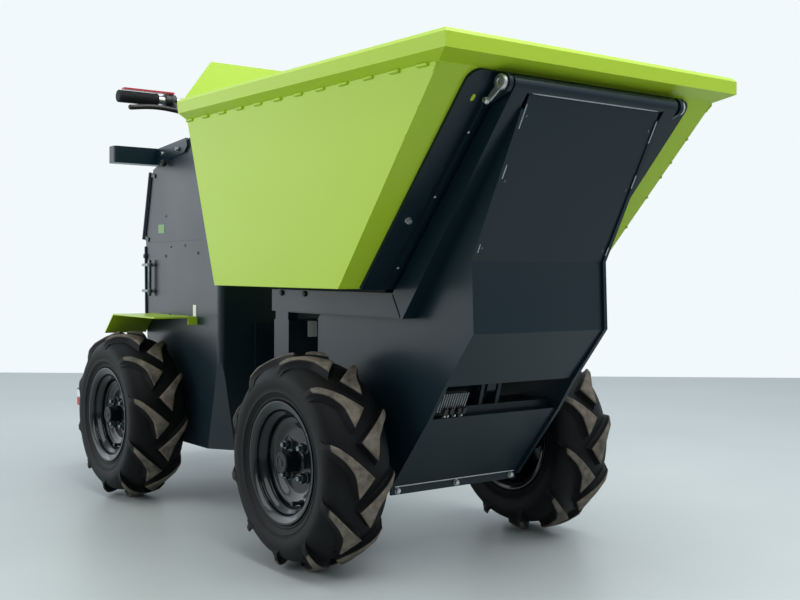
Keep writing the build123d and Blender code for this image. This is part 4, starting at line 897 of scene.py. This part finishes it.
# the knobs, and the black discs at the holes as painted shade
add_piece("console_knobs_and_hole_shade", knob_and_hole_shade, black_polyamide, "rear_frame")
add_piece("console_door_strips", strips, console_coat, "rear_frame")
latch = [bar([(LATCH_X, LATCH_Y, 500), (LATCH_X, LATCH_Y, 586)], 4.6)]
for z in (576.5, 509.0):
    strap = rounded(76, 7, 2.5)
    latch.append(plate(strap, (-912, -CONSOLE_SIDE, z), FORWARDS, UPRIGHT, 6.0, 0.8))
    latch.append(turned(LATCH_COLLAR, (LATCH_X, LATCH_Y, z - 4.5), UPRIGHT, 18))
add_piece("side_door_latch", latch, dark_zinc, "rear_frame")
label = plate(rounded(16, 37, 2), (-654, -CONSOLE_SIDE, 461), FORWARDS, UPRIGHT, 0.5, 0.15)
add_piece("blank_label_console", [label], label_film, "rear_frame")
label = plate(rounded(34, 22, 2), (-842, -CONSOLE_SIDE, 668), FORWARDS, UPRIGHT, 0.5, 0.15)
add_piece("blank_green_label", [label], green_film, "rear_frame")

# ribbed grips on the handlebar stand for the plain ones
HANDLE_X, HANDLE_Z = -850, 996
GRIP_FOOT, CLAMP_FOOT = 208.0, 160.0     # inner ends, from the machine's middle
RIBS, RIB_PITCH = 30, 3.05
GRIP_LINE = [(0, 0), (12.0, 0), (15.6, 0.8), (16.4, 3.0), (16.0, 5.2), (15.0, 6.2)]
for i in range(RIBS):
    rib = 8.0 + i * RIB_PITCH
    GRIP_LINE += [(14.6, rib), (15.5, rib + 0.7), (15.5, rib + 1.8), (14.6, rib + 2.5)]
GRIP_LINE += [(15.5, 100.5), (15.5, 103.0), (13.8, 105.4), (11.0, 106.0), (0, 106.0)]
for name, side in SIDES:
    grip = turned(GRIP_LINE, (HANDLE_X, side * GRIP_FOOT, HANDLE_Z), (0, side, 0), 28)
    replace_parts(add_piece(f"ribbed_grip_{name}", [grip], grip_rubber, "rear_frame"), f"grip_{name}")

# curved brake levers with a ball end stand for the flat blades
CLAMP = (
    (10.5, 0), (15.6, 0), (16.8, 1.2), (16.8, 13.6), (15.8, 14.4), (16.8, 15.2),
    (16.8, 28.8), (15.6, 30), (10.5, 30),
)
BALL_END = [(0, 0), (5.6, 0.8), (6.6, 4), (6.6, 9), (4.4, 12.4), (0, 13.2)]
# the lever's run from its foot, 0, to its end, 1: it bows rearwards with the square of the
# run, and up by half a wave
run = np.linspace(0.0, 1.0, 17)
for name, side in SIDES:
    sweep = np.stack([
        -817.0 - 5.0 * run ** 2, side * (166.0 + 122.0 * run), 968.0 + 5.0 * np.sin(pi * run) - run,
    ], axis=1)
    clamp = [(radius, side * offset) for radius, offset in CLAMP][::side]
    lever = [
        hooped(clamp, (HANDLE_X, side * CLAMP_FOOT, HANDLE_Z), 28),
        bar([(-838, side * 170, 990), (-826, side * 170, 982), (-818, side * 170, 971)], 6.0),
        bar(sweep, 6.4),
        turned(BALL_END, (-822, side * 284.0, 967.0), (0, side, 0), 16),
    ]
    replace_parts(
        add_piece(f"curved_brake_lever_{name}", lever, black_polyamide, "rear_frame"),
        f"brake_lever_{name}",
    )

# ---- platform: grip studs in staggered rows ----------------------------------------
STUD_PITCH, DECK_FACE = 24.0, 229.9
GRIP_STUD = [(0, 0), (4.4, 0), (3.8, 1.2), (2.6, 1.5), (0, 1.5)]
treads = []
for row, x in enumerate(np.arange(-1232.0, -1085.0, STUD_PITCH)):
    stagger = STUD_PITCH / 2 * (row % 2)
    for y in np.arange(-250.0 + stagger, 251.0, STUD_PITCH):
        treads.append(turned(GRIP_STUD, (x, y, DECK_FACE), UPRIGHT, 10))
add_piece("platform_grip_studs", treads, deck_coat, "platform")

# ---- camera, floor and light -------------------------------------------------------
EYE = Vector((2.138, -1.396, 0.564))
TURN, PITCH, ROLL = radians(52.95), radians(-1.5), radians(0.39)
forward = Vector((-sin(TURN) * cos(PITCH), cos(TURN) * cos(PITCH), sin(PITCH)))
level_right = Vector((cos(TURN), sin(TURN), 0.0))
level_up = level_right.cross(forward)
right = level_right * cos(ROLL) + level_up * sin(ROLL)
up = level_up * cos(ROLL) - level_right * sin(ROLL)
lens = bpy.data.cameras.new("studio_camera")
lens.lens, lens.sensor_width = 49.18, 36.0      # millimetres
camera = bpy.data.objects.new("studio_camera", lens)
axes = Matrix((right, up, -forward)).transposed()
camera.matrix_world = Matrix.Translation(EYE) @ axes.to_4x4()
scene.collection.objects.link(camera)
scene.camera = camera


def soft_lamp(name, place, target, width, height, watts):
    """A rectangular softbox that faces the target."""
    box = bpy.data.lights.new(name, "AREA")
    box.shape, box.size, box.size_y, box.energy = "RECTANGLE", width, height, watts
    lamp = bpy.data.objects.new(name, box)
    lamp.location = place
    lamp.rotation_mode = "QUATERNION"
    lamp.rotation_quaternion = (Vector(target) - Vector(place)).to_track_quat("-Z", "Y")
    scene.collection.objects.link(lamp)


# where each box stands, what it faces, its width, height and watts
soft_lamp("overhead_softbox", (1.2, 0.2, 3.2), (-0.2, 0.0, 0.6), 2.8, 2.8, 105.0)
soft_lamp("side_softbox", (-0.9, -3.8, 1.7), (0.0, 0.0, 0.5), 3.0, 2.2, 54.0)
soft_lamp("rear_side_softbox", (-4.0, -2.8, 1.1), (-0.4, -0.2, 0.6), 2.6, 2.2, 24.0)
soft_lamp("front_softbox", (3.8, 1.6, 2.4), (0.2, 0.0, 0.5), 2.0, 2.0, 10.0)

# The studio wall is pale wherever an eye, a mirror or glass looks past the floor.
world = bpy.data.worlds.new("studio")
scene.world = world
world.use_nodes = True
sky = world.node_tree
sky.nodes.clear()
seen = add_node(sky, "ShaderNodeLightPath")
looked_at = add_node(sky, "ShaderNodeMath", {
    0: seen.outputs["Is Camera Ray"], 1: seen.outputs["Is Transmission Ray"],
}, operation="ADD", use_clamp=True)
fill = add_node(sky, "ShaderNodeBackground", {"Color": srgb("#EEF4F8"), "Strength": 0.56})
# a mirror sees the pale wall behind the machine, and a dim hall towards the viewer
towards_wall = add_node(sky, "ShaderNodeVectorMath", {
    0: add_node(sky, "ShaderNodeTexCoord").outputs["Generated"], 1: tuple(forward),
}, operation="DOT_PRODUCT")
mirrored = add_node(sky, "ShaderNodeBackground", {
    "Color": srgb("#DCE9F0"), "Strength": add_node(sky, "ShaderNodeMapRange", {
        "Value": towards_wall.outputs["Value"], "From Min": -0.5, "From Max": 0.4,
        "To Min": 0.25, "To Max": 1.3,
    }).outputs["Result"],
})
wall = add_node(sky, "ShaderNodeBackground", {"Color": srgb("#F2F9FC"), "Strength": 1.0})
lit_or_mirrored = add_node(sky, "ShaderNodeMixShader", {
    0: seen.outputs["Is Glossy Ray"], 1: fill.outputs[0], 2: mirrored.outputs[0],
})
add_node(sky, "ShaderNodeOutputWorld", {"Surface": add_node(sky, "ShaderNodeMixShader", {
    0: looked_at.outputs["Value"], 1: lit_or_mirrored.outputs[0], 2: wall.outputs[0],
}).outputs[0]})

# Power-floated concrete: pale grey, faint clouds under a metre across, a soft sheen.
concrete, tree, place = new_material("floated_concrete")
clouds = add_node(tree, "ShaderNodeTexNoise", {"Vector": place, "Scale": 1.3, "Detail": 6.0})
shade = add_node(tree, "ShaderNodeMix", {
    0: clouds.outputs["Fac"], 6: srgb("#A9B1B2"), 7: srgb("#BEC5C5"),
}, data_type="RGBA")
surface = add_node(
    tree, "ShaderNodeBsdfPrincipled", {"Base Color": shade.outputs[2], "Roughness": 0.42}
)
add_node(tree, "ShaderNodeOutputMaterial", {"Surface": surface.outputs[0]})

FLOOR_REACH = 5.93            # from the eye to the studio wall
FLOOR_HALF_WIDTH, FLOOR_BEHIND = 9.0, 9.0
level_forward = Vector((forward.x, forward.y, 0.0)).normalized()
eye_on_floor = Vector((EYE.x, EYE.y, 0.0))
floor_mesh = bpy.data.meshes.new("studio_floor")
floor_mesh.from_pydata([
    eye_on_floor + level_right * across + level_forward * ahead
    for across, ahead in (
        (-FLOOR_HALF_WIDTH, -FLOOR_BEHIND), (FLOOR_HALF_WIDTH, -FLOOR_BEHIND),
        (FLOOR_HALF_WIDTH, FLOOR_REACH), (-FLOOR_HALF_WIDTH, FLOOR_REACH),
    )
], [], [(0, 1, 2, 3)])
floor_mesh.materials.append(concrete)
floor = bpy.data.objects.new("studio_floor", floor_mesh)
scene.collection.objects.link(floor)
